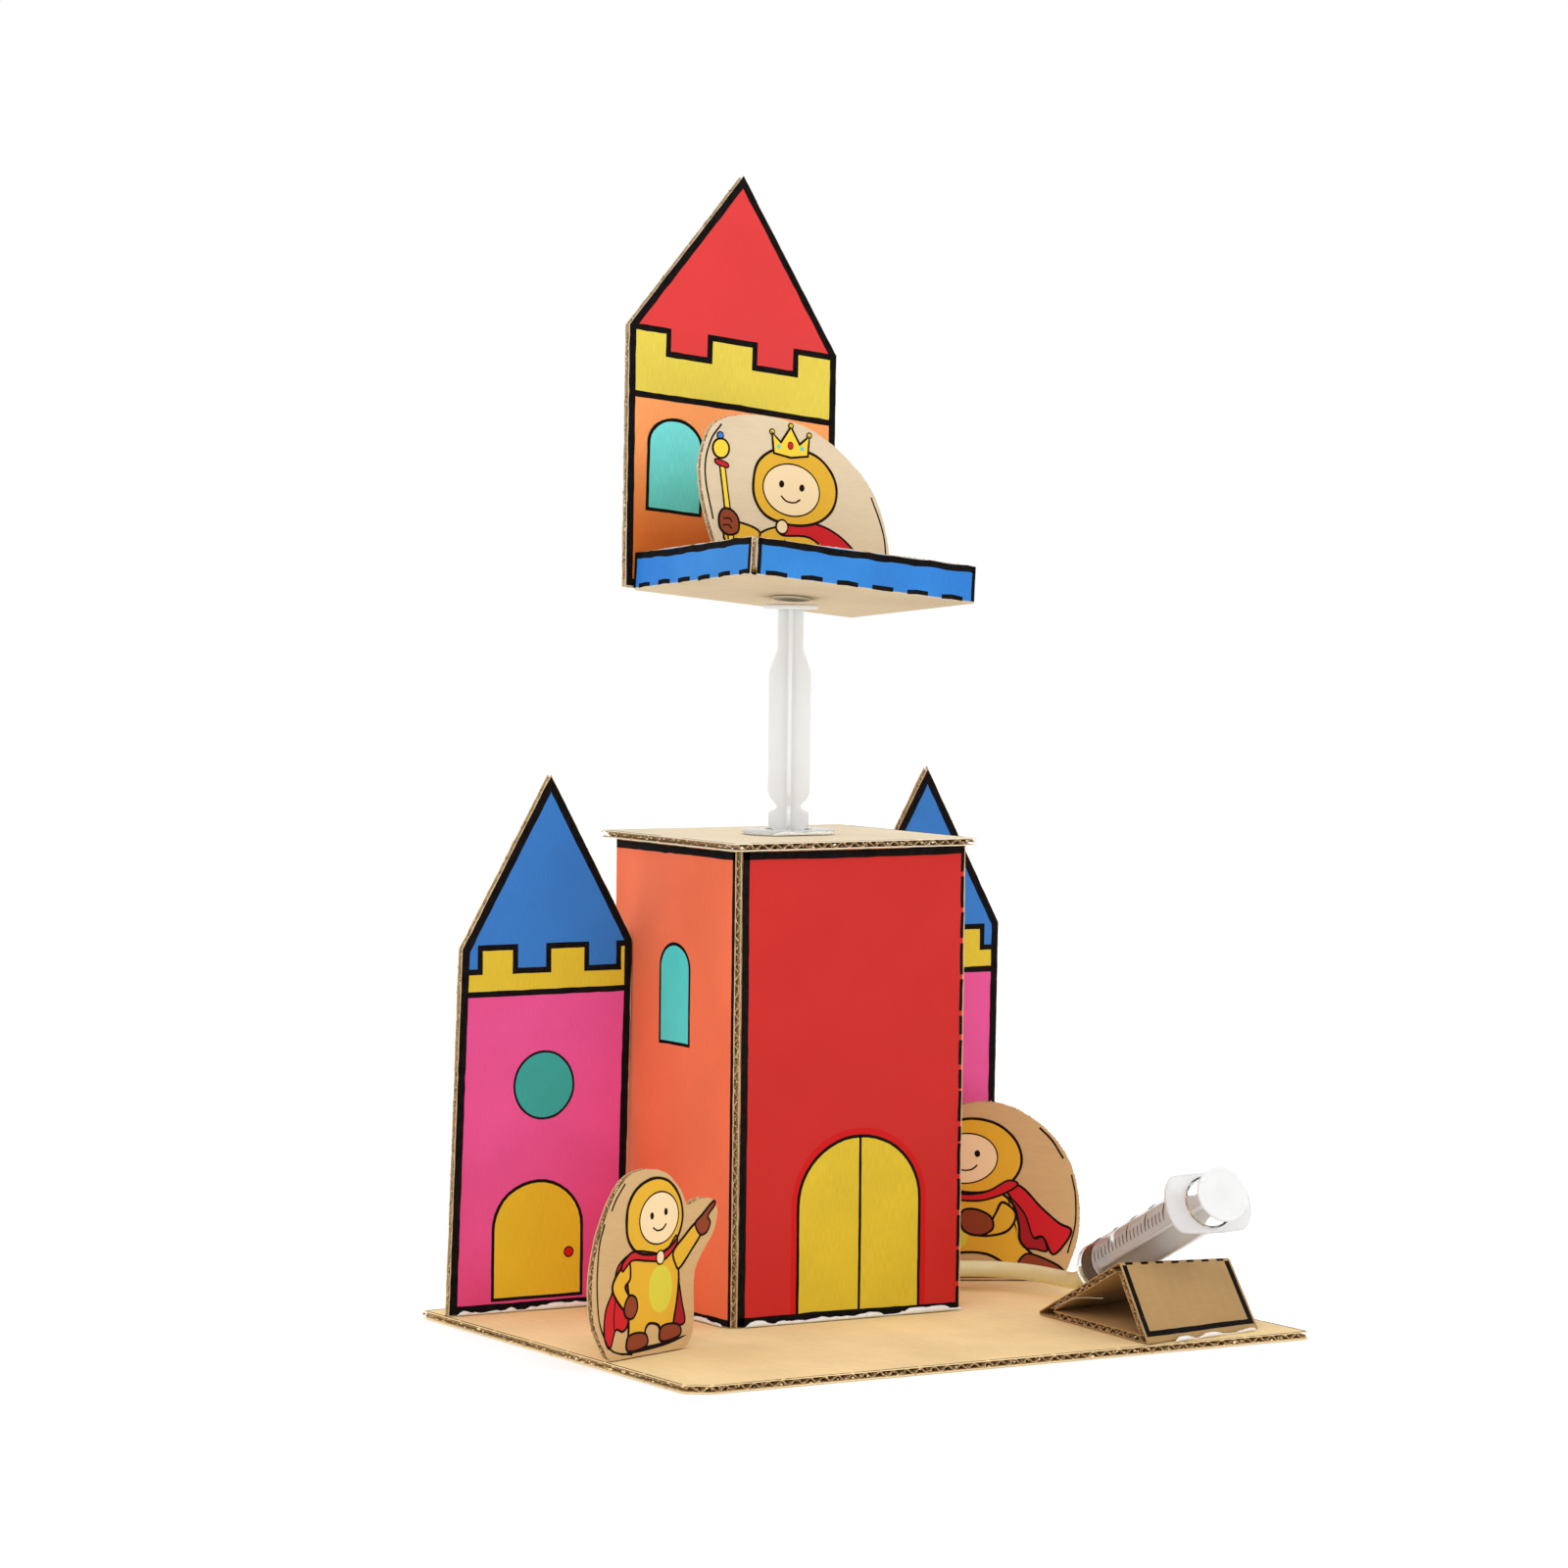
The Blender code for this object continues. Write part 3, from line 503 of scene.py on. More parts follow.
def spans(loops, axis, value):
    """Where a line across the outlines lies inside them."""
    cuts = []
    for loop in loops:
        for a, b in zip(loop, loop[1:] + loop[:1]):
            if (a[axis] <= value) != (b[axis] <= value):
                t = (value - a[axis]) / (b[axis] - a[axis])
                cuts.append(a[1 - axis] + (b[1 - axis] - a[1 - axis]) * t)
    cuts.sort()
    return list(zip(cuts[::2], cuts[1::2]))


def frayed(loop, amount, seed):
    """A cut edge as scissors leave it in board."""
    return [shake(*shake(x, y, amount, 0.75, seed), amount * 1.2, 0.17, seed + 5) for x, y in resample(loop, 1.9, True)]


def corrugated(shape, loops, flutes, liner, inner=None, seed=0.0):
    """Board between local z = -BOARD/2 and BOARD/2: two liners and a fluted medium. Flutes run along X or Y."""
    inner = inner or loops
    half = BOARD / 2
    for outlines, low, high in ((loops, half - LINER, half), (inner, -half, LINER - half)):
        shape.prism([frayed(loop, 0.17, seed + low) for loop in outlines], low, high, liner)
    axis = 1 if flutes == "X" else 0
    low = min(p[axis] for p in inner[0]) + 1.2
    high = max(p[axis] for p in inner[0]) - 1.2
    count = max(2, round((high - low) / FLUTE_PITCH * 13))
    reach = half - LINER - MEDIUM / 2
    strips = []
    for i in range(count + 1):
        u = low + (high - low) * i / count
        phase = 2 * math.pi * u / FLUTE_PITCH + 0.7 * noise.noise(Vector((u * 0.13, seed, 1.0)))
        z = reach * max(-1.0, min(1.0, 1.12 * math.sin(phase) + 0.16 * noise.noise(Vector((u * 0.5, seed, 9.0)))))
        thick = MEDIUM / 2 * (1.1 + 0.5 * noise.noise(Vector((u * 0.8, seed, 4.0))))
        columns = []
        for start, end in spans(inner, axis, u):
            start += 0.25 + 0.7 * noise.noise(Vector((u * 0.7, start * 0.1, seed)))
            end -= 0.25 + 0.7 * noise.noise(Vector((u * 0.7, end * 0.1, seed)))
            corners = [(start, z - thick), (start, z + thick), (end, z + thick), (end, z - thick)]
            columns.append([(v, u, w) if axis else (u, v, w) for v, w in corners])
        if not strips or len(columns) != len(strips[-1][0]):
            strips.append([])
        strips[-1].append(columns)
    for strip in strips:
        if len(strip) > 1:
            for k in range(len(strip[0])):
                shape.rings([columns[k] for columns in strip], "medium")
    for loop in inner:
        crumbs(shape, loop, liner, seed)


def crumbs(shape, loop, liner, seed):
    """Scraps of torn liner and medium that stand in the cut edge."""
    for i, (x, y) in enumerate(resample(loop, 1.7, True)):
        turn = noise.noise_vector(Vector((x * 0.9, y * 0.9, seed + 2)))
        if turn.z < -0.12:
            continue
        size = 0.6 + 1.5 * abs(turn.x)
        lift = (BOARD / 2 - LINER) * max(-0.85, min(0.85, 2.4 * turn.y))
        tilt = 2.5 * turn.z + i
        long, wide = Vector((math.cos(tilt), math.sin(tilt), 0.0)), Vector((0.25, 0.25, 0.95)).normalized()
        across = long.cross(wide).normalized() * 0.13
        corners = [long * size, wide * size * 0.5, -long * size * 0.8, -wide * size * 0.6]
        middle = Vector((x, y, lift))
        rings = [[middle + c * 0.8 + across * side for c in corners] for side in (-1, 1)]
        limit = BOARD / 2 - 0.05
        rings = [[Vector((p.x, p.y, max(-limit, min(limit, p.z)))) for p in ring] for ring in rings]
        shape.rings(rings, liner if turn.x > 0.05 else "medium")


# A standing board: local X runs along it, local Y is up, and its printed face looks along local +Z.
STANDING = Matrix(((1, 0, 0, 0), (0, 0, -1, 0), (0, 1, 0, 0), (0, 0, 0, 1)))


def standing(foot, turn=0.0, lean=0.0):
    place = Matrix.Translation(foot) @ Matrix.Rotation(turn, 4, "Z") @ Matrix.Rotation(lean, 4, "X")
    return place @ STANDING @ Matrix.Translation((0, 0, -BOARD / 2))


# ---------------------------------------------------------------- base, keep and lid


def build_base():
    w, d, cut = 146.0, 107.5, 9.0
    outline = [(-w + cut, -d), (w, -d), (w, d), (-w, d), (-w, -d + cut * 0.7)]
    place = Matrix.Translation((0, 0, BOARD / 2))
    board = Shape(place)
    corrugated(board, [outline], "Y", "base", seed=1.0)
    # The marker line along the cut, thin and broken
    for a, b in zip(outline, outline[1:] + outline[:1]):
        span = resample([a, b], 31.0, False)
        for start, end in zip(span, span[1:]):
            length = math.dist(start, end)
            shrink = 0.9 / length
            p = [start[k] + (end[k] - start[k]) * shrink for k in (0, 1)]
            q = [end[k] - (end[k] - start[k]) * shrink for k in (0, 1)]
            inward = 0.55 / math.hypot(*[(m + n) / 2 for m, n in zip(p, q)])
            p = (p[0] * (1 - inward), p[1] * (1 - inward))
            q = (q[0] * (1 - inward), q[1] * (1 - inward))
            board.line([p, q], 0.7, 0, "black", wobble=0.2)
    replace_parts(board.make("base_board", "castle", "base_board"), "base_plate")


def fold_arc(x, y, radius, start, turn=90):
    """Section of the liner that runs round a fold from the start angle, in degrees."""
    turns = [math.radians(start + turn * i / 6) for i in range(7)]
    outer = [(x + radius * math.cos(t), y + radius * math.sin(t)) for t in turns]
    inner = [(x + (radius - LINER) * math.cos(t), y + (radius - LINER) * math.sin(t)) for t in turns]
    return outer + inner[::-1]


def keep_wall(turn, foot, low, high, core_low, core_high, hole=None, seed=0.0):
    """One wall of the sleeve; the core stops short of the folds."""
    wall = Shape(standing(foot, math.radians(turn)))
    outer = [[(low, 0), (high, 0), (high, KEEP_HEIGHT), (low, KEEP_HEIGHT)]]
    inner = [[(core_low, 0), (core_high, 0), (core_high, KEEP_HEIGHT), (core_low, KEEP_HEIGHT)]]
    if hole:
        ring = ellipse(hole[0], hole[1], hole[2], hole[2], sides=28)[::-1]
        outer.append(ring)
        inner.append(ring)
    corrugated(wall, outer, "X", "keep", inner, seed)
    return wall


def build_keep():
    r = 1.3
    core = BOARD + 0.15
    left = keep_wall(-90, (KEEP_LEFT, 0, FLOOR_Z), -KEEP_BACK + r, -KEEP_FRONT, -KEEP_BACK + core, -KEEP_FRONT, None, 2.0)
    front = keep_wall(
        0, (0, KEEP_FRONT, FLOOR_Z), KEEP_LEFT + BOARD + GAP, KEEP_RIGHT - r,
        KEEP_LEFT + BOARD + GAP, KEEP_RIGHT - core, None, 3.0,
    )
    right = keep_wall(
        90, (KEEP_RIGHT, 0, FLOOR_Z), KEEP_FRONT + r, KEEP_BACK - r, KEEP_FRONT + core, KEEP_BACK - core, TUBE_HOLE, 4.0
    )
    back = keep_wall(
        180, (0, KEEP_BACK, FLOOR_Z), -KEEP_RIGHT + r, -KEEP_LEFT - r, -KEEP_RIGHT + core, -KEEP_LEFT - core, None, 5.0
    )
    folds = Shape(Matrix.Translation((0, 0, FLOOR_Z)))
    for x, y, start in (
        (KEEP_LEFT + r, KEEP_BACK - r, 90), (KEEP_RIGHT - r, KEEP_BACK - r, 0), (KEEP_RIGHT - r, KEEP_FRONT + r, 270)
    ):
        folds.prism([fold_arc(x, y, r, start)], 0, KEEP_HEIGHT, "keep")
    whole = Shape()
    for wall in (left, front, right, back, folds):
        whole.join(wall)
    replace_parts(whole.make("keep_sleeve", "castle", "keep_board"), "keep_walls")

    h = KEEP_HEIGHT
    gate = Shape(standing((0, KEEP_FRONT, FLOOR_Z)))
    x0, x1 = KEEP_LEFT + BOARD + GAP + 0.1, KEEP_RIGHT - r
    gate.fill(resample([(x0, 0.4), (x1, 0.4), (x1, h - 0.3), (x0, h - 0.3)], 6, True), 0, "red")
    door = arch(-28.0, 31.0, 1.2, 47.6, 75.0, 24)
    gate.fill(arch(-31.2, 34.2, 1.0, 47.4, 78.4, 24), 1, "halo")
    gate.fill(door, 2, "yellow")
    gate.line(door, 1.3, 4, closed=True)
    gate.line([(1.8, 1.0), (1.9, 30), (1.7, 75)], 1.2, 4)
    gate.line([(x0 + 1.5, 0.4), (x0 + 1.7, h / 2), (x0 + 1.5, h - 0.4)], 3.2, 5)
    gate.line([(x0, 1.9), (-20, 2.2), (x1, 1.4)], 3.4, 5)
    gate.line([(x0, h - 1.9), (0, h - 2.1), (x1, h - 1.6)], 3.2, 5)
    y = 2.0
    while y < h - 6:
        length = 6.0 + 7.0 * abs(math.sin(y * 1.7))
        gate.line([(x1 - 0.7, y), (x1 - 0.6, min(y + length, h - 1))], 1.4, 6, wobble=0.35)
        y += length + 0.9 + 1.4 * abs(math.sin(y))
    gate.make("keep_front_paint", "castle", "keep_board")

    for name, turn, foot, low, high, edge in (
        ("keep_left_paint", -90, (KEEP_LEFT, 0, FLOOR_Z), -KEEP_BACK + r, -KEEP_FRONT - 0.1, 1),
        ("keep_right_paint", 90, (KEEP_RIGHT, 0, FLOOR_Z), KEEP_FRONT + r, KEEP_BACK - r, 0),
    ):
        side = Shape(standing(foot, math.radians(turn)))
        loops = [[(low, 0.4), (high, 0.4), (high, h - 0.3), (low, h - 0.3)]]
        if not edge:
            loops.append(ellipse(TUBE_HOLE[0], TUBE_HOLE[1], 4.9, 4.9, sides=28)[::-1])
        side.prism(loops, BOARD / 2 - 0.03, BOARD / 2 + 0.05, "orange")
        near, far = (-65.0, -41.6) if edge else (41.6, 65.0)
        window = arch(near, far, 111.4, 142.6, 152.3)
        side.fill(window, 1, "teal")
        side.line(window, 1.3, 3, closed=True)
        if edge:
            side.line([(high - 1.0, 0.4), (high - 0.9, h - 0.4)], 1.9, 4)
            side.line([(low, 1.4), (high, 1.6)], 2.6, 4)
        else:
            side.line([(low, 1.4), (TUBE_HOLE[0] - 6, 1.5)], 2.6, 4)
            side.line([(TUBE_HOLE[0] + 6, 1.5), (high, 1.6)], 2.6, 4)
        side.line([(low, h - 2.0), (high, h - 1.9)], 3.2, 4)
        side.make(name, "castle", "keep_board")

    x0, x1, y0, y1 = KEEP_LEFT - 3.0, KEEP_RIGHT + 2.5, KEEP_FRONT - 4.0, KEEP_BACK + 6.0
    lid = Shape(Matrix.Translation((0, 0, LID_Z + BOARD / 2)))
    hole = ellipse(LIFT_X, LIFT_Y, BARREL_RADIUS + 0.5, BARREL_RADIUS + 0.5, sides=40)[::-1]
    corrugated(lid, [[(x0, y0), (x1, y0), (x1, y1), (x0, y1)], hole], "Y", "lid", seed=6.0)
    for p, q in (
        ((x0 + 0.7, y0 + 1), (x0 + 0.7, y0 + 42)), ((x0 + 0.7, y0 + 60), (x0 + 0.7, y1 - 3)),
        ((x0 + 8, y0 + 0.7), (x1 - 30, y0 + 0.7)), ((x1 - 0.7, y0 + 10), (x1 - 0.7, y1 - 10)),
    ):
        lid.line([p, q], 0.7, 0, "black", wobble=0.25)
    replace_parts(lid.make("lid_board", "castle", "lid_board"), "keep_lid")


# ---------------------------------------------------------------- towers


def crenel(steps, low, high, start_high=False):
    """A battlement line through the given X stops, between two heights."""
    line, up = [], start_high
    for a, b in zip(steps, steps[1:]):
        level = high if up else low
        line += [(a, level), (b, level)]
        up = not up
    return line


def inset(points, margin):
    """A convex outline moved inwards; it may run either way round."""
    middle = Vector((sum(p[0] for p in points) / len(points), sum(p[1] for p in points) / len(points)))
    out = []
    count = len(points)
    for i in range(count):
        here = Vector(points[i])
        one = (here - Vector(points[i - 1])).normalized()
        two = (Vector(points[(i + 1) % count]) - here).normalized()
        n1, n2 = Vector((-one.y, one.x)), Vector((-two.y, two.x))
        if n1.dot(middle - here) < 0:
            n1, n2 = -n1, -n2
        both = (n1 + n2).normalized()
        out.append(tuple(here + both * margin / max(0.3, both.dot(n1))))
    return out


def build_towers():
    left = [(-145.2, 0), (-63.2, 0), (-60.1, 152), (-99.6, 221), (-140.4, 150)]
    right = [(52.7, 0), (126.9, 0), (128.1, 153), (90.1, 221), (52.7, 155)]
    for name, outline, y, steps, low, high, band, window, seed in (
        ("left_tower", left, 87.5, [-139.6, -132, -115.6, -100, -82, -66.7, -61.2], 140.6, 150.4, 131.3, -101.7, 8.0),
        ("right_tower", right, 93.5, [53.7, 60, 73, 88, 103, 119.6, 127.1], 142.2, 151.4, 132.4, 90.4, 9.0),
    ):
        board = Shape(standing((0, y, FLOOR_Z)))
        corrugated(board, [outline], "X", "tower", seed=seed)
        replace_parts(board.make(name + "_board", "castle", "tower_board"), name)
        art = Shape(standing((0, y, FLOOR_Z)))
        art.fill(inset(outline, 0.35), 0, "pink")
        parapet = crenel(steps, low, high, name == "right_tower")
        x0, x1 = steps[0], steps[-1]
        art.fill([(x0, band), (x1, band), *parapet[::-1]], 1, "band")
        edge = inset(outline, 0.4)
        art.fill([*parapet, edge[2], edge[3], edge[4]], 1, "blue")
        art.line([(x0, band), (x1, band + 0.4)], 2.4, 3)
        art.line(parapet, 2.4, 3, wobble=0.1)
        art.fill(ellipse(window, 92.9, 13.9, 13.9), 2, "teal_dark")
        art.line(ellipse(window, 92.9, 13.9, 13.9), 0.9, 4, closed=True)
        door = arch(window - 23.3, window + 18.5, 5.2, 33.6, 53.3)
        art.fill(door, 2, "mustard")
        art.line(door, 1.3, 4, closed=True)
        art.inked(ellipse(window + 12.4, 23.0, 2.1, 2.1, sides=20), 5, "halo", 0.5)
        art.line(inset(outline, 1.9), 3.3, 5, closed=True)
        art.make(name + "_paint", "castle", "tower_board")


# ---------------------------------------------------------------- carriage: tray, backdrop, king

CARRIAGE = (
    Matrix.Translation((LIFT_X, LIFT_Y, 298.3))
    @ Matrix.Rotation(math.radians(2.3), 4, "Z")
    @ Matrix.Rotation(math.radians(-4.85), 4, "X")
    @ Matrix.Rotation(math.radians(5.9), 4, "Y")
)


def rim_paint(shape, low, high, dash, step):
    """Blue outside of a tray rim, with its top line and the dashes along the fold."""
    top = TRAY_RIM
    shape.fill([(low, 0.9), (high, 0.9), (high, top - 0.3), (low, top - 0.3)], 0, "rim_blue")
    shape.line([(low, top - 1.4), ((low + high) / 2, top - 1.9), (high, top - 1.4)], 2.7, 2, wobble=0.7)
    shape.line([(low + 0.8, 0.9), (low + 0.9, top - 0.4)], 1.7, 2)
    shape.line([(high - 0.9, 0.9), (high - 0.8, top - 0.4)], 1.7, 2)
    x = low + 4
    while x < high - dash / 2:
        end = min(x + dash, high - 0.5)
        shape.line([(x, 1.5), ((x + end) / 2, 1.9), (end, 1.6)], 1.8, 3, wobble=0.5)
        x += step


def build_tray():
    r = 1.2
    core = 3.3
    # The board's painted side faces down under the floor, so the floor is turned over.
    under = CARRIAGE @ Matrix.Translation((0, 0, BOARD / 2)) @ Matrix.Rotation(math.pi, 4, "X")
    tray = Shape(under)
    floor, kernel = [
        [
            (TRAY_LEFT + edge, -TRAY_FRONT - edge), (TRAY_RIGHT - edge, -TRAY_FRONT - edge),
            (TRAY_RIGHT - edge, -TRAY_BACK), (TRAY_LEFT + edge, -TRAY_BACK),
        ]
        for edge in (r, core)
    ]
    corrugated(tray, [floor], "X", "tray", [kernel], 10.0)
    top = TRAY_RIM
    for name, turn, foot, low, high, dash, step, seed in (
        ("front", 0, (0, TRAY_FRONT, 0), TRAY_LEFT + BOARD + GAP, TRAY_RIGHT, 10.5, 17.5, 11.0),
        ("left", -90, (TRAY_LEFT, 0, 0), -TRAY_BACK, -TRAY_FRONT, 8.4, 15.0, 12.0),
        ("right", 90, (TRAY_RIGHT, 0, 0), TRAY_FRONT + BOARD + GAP, TRAY_BACK, 8.4, 15.0, 13.0),
    ):
        place = CARRIAGE @ standing(foot, math.radians(turn))
        wall = Shape(place)
        outer, inner = [[(low, edge), (high, edge), (high, top), (low, top)] for edge in (r, core)]
        corrugated(wall, [outer], "Y", "tray", [inner], seed)
        tray.join(wall)
        bend = Shape(place @ Matrix.Translation((0, 0, BOARD / 2)) @ Matrix.Rotation(math.pi / 2, 4, "Y"))
        bend.prism([fold_arc(r, r, r, 180)], low + 0.05, high - 0.05, "tray")
        tray.join(bend)
        art = Shape(place)
        rim_paint(art, low, high, dash, step)
        art.make("tray_" + name + "_paint", "lift_carriage", "tray_board")
    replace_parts(tray.make("tray_board", "lift_carriage", "tray_board"), "lift_tray")


def build_backdrop():
    place = CARRIAGE @ standing((-56.8, TRAY_BACK + GAP, 1.5), 0.0, math.radians(-2.6))
    outline = [(0, 0), (104.2, 0), (103.6, 110.8), (53.6, 182.0), (-1.6, 110.4)]
    board = Shape(place)
    corrugated(board, [outline], "X", "backdrop", seed=14.0)
    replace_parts(board.make("backdrop_board", "lift_carriage", "backdrop_board"), "lift_backdrop")
    art = Shape(place)
    edge = inset(outline, 0.35)
    art.fill(edge, 0, "amber")
    parapet = crenel([-0.6, 18, 38.8, 61.5, 82.5, 102.8], 100.0, 109.8, True)
    art.fill([(-0.6, 81.3), (102.8, 81.3), *parapet[::-1]], 1, "lemon")
    art.fill([*parapet, edge[2], edge[3], edge[4]], 1, "coral")
    art.line([(-0.6, 81.3), (50, 81.7), (102.8, 81.2)], 2.6, 3)
    art.line(parapet, 2.6, 3, wobble=0.1)
    window = arch(9.5, 36.0, 33.5, 61.5, 72.5)
    art.fill(window, 2, "aqua")
    art.line(window, 1.4, 4, closed=True)
    art.line(inset(outline, 1.8), 3.1, 5, closed=True)
    art.make("backdrop_paint", "lift_carriage", "backdrop_board")


# ---------------------------------------------------------------- standees with their printed figures


def face_of(art, x, y, rx, ry, layer, tilt=0.0, shut=False):
    """A plain toy face: cream oval, two dots and a smile."""
    art.inked(ellipse(x, y, rx, ry, tilt), layer, "skin", 0.6)
    c, s = math.cos(math.radians(tilt)), math.sin(math.radians(tilt))

    def at(u, v):
        return (x + u * rx * c - v * ry * s, y + u * rx * s + v * ry * c)

    for side in (-0.36, 0.36):
        art.fill(ellipse(*at(side, 0.16), rx * 0.09, ry * 0.14, tilt, 16), layer + 3, "print_ink")
    smile = [at(-0.34, -0.3), at(-0.14, -0.46), at(0.14, -0.46), at(0.34, -0.3)]
    art.line(curve(smile), 0.7, layer + 3, "print_ink", wobble=0.0)


def king_art(art):
    art.inked(blob([(-23, 5), (-22, 19), (-15, 26), (-4, 29), (10, 28), (22, 24), (25, 16), (25, 5), (0, 4.4)]), 0, "suit")
    cape = [(8, 31.8), (20, 29.2), (30, 23), (37.4, 15), (41, 5.4), (34, 4.8), (24, 8), (19, 18), (8, 25.6), (-6, 25.2), (-6, 28.8)]
    art.inked(blob(cape), 2, "cape")
    art.inked(blob([(24, 5), (27, 16), (23.4, 23), (30, 16), (35, 5)]), 4, "cape_dark", 0.6)
    art.inked(blob([(-24, 15), (-34, 19.8), (-34, 26.8), (-28, 28.2), (-17, 24.8)]), 4, "suit")
    rod = [(-37.4, 51), (-28.2, 6.2)]
    art.line(rod, 3.2, 5, "print_ink", wobble=0.0)
    art.line(rod, 1.8, 6, "gold", wobble=0.0)
    art.inked(ellipse(-38.4, 57.6, 4.0, 4.0), 7, "gold", 0.85)
    art.inked(ellipse(-39.0, 62.8, 1.5, 1.5, sides=18), 7, "gem_blue", 0.5)
    art.inked(blob([(-40.6, 53.0), (-35, 51.8), (-34.8, 50), (-40.2, 51)]), 7, "cape", 0.6)
    fist = [(-37.6, 29.8), (-35.4, 33), (-31, 32.4), (-28, 29), (-28.2, 24), (-32.8, 22.4), (-36.8, 24.8)]
    art.inked(blob(fist), 8, "glove", 0.9)
    for y in (29.2, 26.4):
        art.line(curve([(-35.6, y - 0.4), (-32.8, y), (-31.2, y - 1.4)]), 0.6, 10, "print_ink", wobble=0.0)
    hood = [
        (-21.6, 46), (-19.6, 54.4), (-12, 60.2), (-2, 61.8), (9, 60), (17, 54), (20.2, 46), (18, 37.8), (10, 31.8),
        (-2, 29.9), (-14, 32.2), (-20.2, 38.4),
    ]
    art.inked(blob(hood), 4, "suit", 1.15)
    face_of(art, -2.6, 44.4, 14.2, 10.8, 6, -3.0)
    crown = [
        (-12.2, 58.8), (-13.6, 67.2), (-9.0, 63.6), (-4.4, 70.6), (0.4, 63.8), (5.0, 67.8), (4.8, 59.4), (-3.6, 57.8),
    ]
    art.inked(crown, 8, "gold", 0.9)
    for x, y in ((-13.6, 67.6), (-4.4, 71.0), (5.0, 68.2)):
        art.inked(ellipse(x, y, 1.1, 1.1, sides=14), 9, "gold", 0.5)
    art.inked(ellipse(-4.2, 62.8, 1.3, 1.6, sides=14), 10, "cape", 0.3)
    for x, y in ((-10.0, 61.8), (1.6, 62.2)):
        art.fill(ellipse(x, y, 0.9, 1.0, sides=12), 10, "teal")
    art.inked(ellipse(-6.4, 28.6, 2.9, 2.9, sides=20), 10, "skin", 0.7)
    art.line(curve([(-40.4, 28), (-45.6, 47), (-43.6, 60), (-38.6, 67.6)]), 0.8, 0, "print_ink")
    art.line(curve([(38, 46), (45.2, 31), (47.6, 14)]), 0.7, 0, "print_ink")


def herald_art(art):
    art.inked(blob([(3, 37), (12, 40), (10, 24), (9, 14), (6, 11), (1.6, 12), (-1.6, 5.2), (-5, 10), (-4.4, 20), (0, 28)]), 0, "cape")
    art.line(curve([(2, 28), (0.6, 18), (0.8, 12)]), 0.5, 3, "print_ink", wobble=0.0)
    art.inked(blob([(38, 30), (42, 18), (43.6, 10.6), (38, 9.8), (34, 10.4)]), 0, "cape_dark")
    body = [
        (8, 37), (15, 41.6), (28, 42.6), (37, 40), (39.6, 30), (38.6, 20), (36.6, 11), (37, 6.4), (29.6, 6.2),
        (27.6, 11), (22, 12.4), (19.4, 10), (18.4, 4.6), (10.2, 4.6), (9.4, 12), (9.6, 22), (8.4, 30),
    ]
    art.inked(blob(body), 2, "suit", 1.15)
    art.fill(ellipse(28.4, 25.4, 7.2, 9.4), 4, "suit_pale")
    art.inked(blob([(9, 38), (2.6, 34), (-0.6, 28.6), (2.6, 23), (7.6, 19), (11.6, 21.6), (9, 25), (7, 28.4), (10, 31.4)]), 5, "suit", 1.05)
    art.inked(blob([(6.6, 20.6), (9.4, 24.6), (13.4, 23.4), (14.4, 19), (11.6, 15.6), (7.6, 16.6)]), 7, "glove", 0.9)
    art.inked(blob([(36, 39), (42, 44), (50.4, 49.4), (53.4, 45.4), (47, 38.6), (40, 32.4), (37.6, 34)]), 5, "suit", 1.05)
    art.inked(
        blob([(49.4, 48.8), (53.6, 52), (60.4, 56.6), (61.4, 55.2), (57.2, 51.4), (58.6, 48.6), (56.6, 45), (52.4, 44.4)]),
        7, "glove", 0.9,
    )
    art.inked(blob([(8.6, 3.4), (9, 8.4), (14, 9.6), (19.8, 8.4), (20.6, 4.4), (15, 2.9)]), 5, "glove", 0.9)
    art.inked(blob([(28.6, 5), (29, 10), (34.4, 11), (40, 9.8), (41, 6.2), (35, 4.6)]), 5, "glove", 0.9)
    art.fill(blob([(5, 1.9), (18, 3.6), (32, 4.2), (44.6, 5.4), (34, 3.0), (18, 1.9)]), 3, "print_ink")
    hood = [(7.6, 52), (8.6, 60), (14, 66.2), (23.6, 69.2), (33, 67.2), (39.4, 60.6), (41.4, 52.4), (38.6, 45), (32, 40.6), (23, 39.4), (14, 41.2), (9, 46)]
    art.inked(blob(hood), 8, "suit", 1.15)
    face_of(art, 27.0, 53.4, 11.8, 10.2, 10, 6.0)
    art.inked(blob([(5.6, 38), (12, 41.6), (22, 40.4), (27.4, 38.8), (27, 36.6), (20, 37.2), (11, 38.2), (5.4, 34.6)]), 8, "cape", 0.85)
    art.inked(blob([(28.4, 38.8), (33, 41.2), (37.4, 45.4), (38.4, 43), (34.4, 38.8), (29.4, 36.4)]), 8, "cape", 0.85)
    art.inked(ellipse(28.0, 37.8, 2.4, 2.7, sides=20), 10, "skin", 0.6)
    art.line(curve([(6.6, 68.6), (1.4, 63), (-1.4, 58.6)]), 0.8, 0, "print_ink")
    art.line(curve([(-5.4, 54), (-8.6, 45), (-9.6, 30), (-8.2, 17), (-3.2, 7), (2.6, 3), (12, 1.5)]), 0.8, 0, "print_ink")


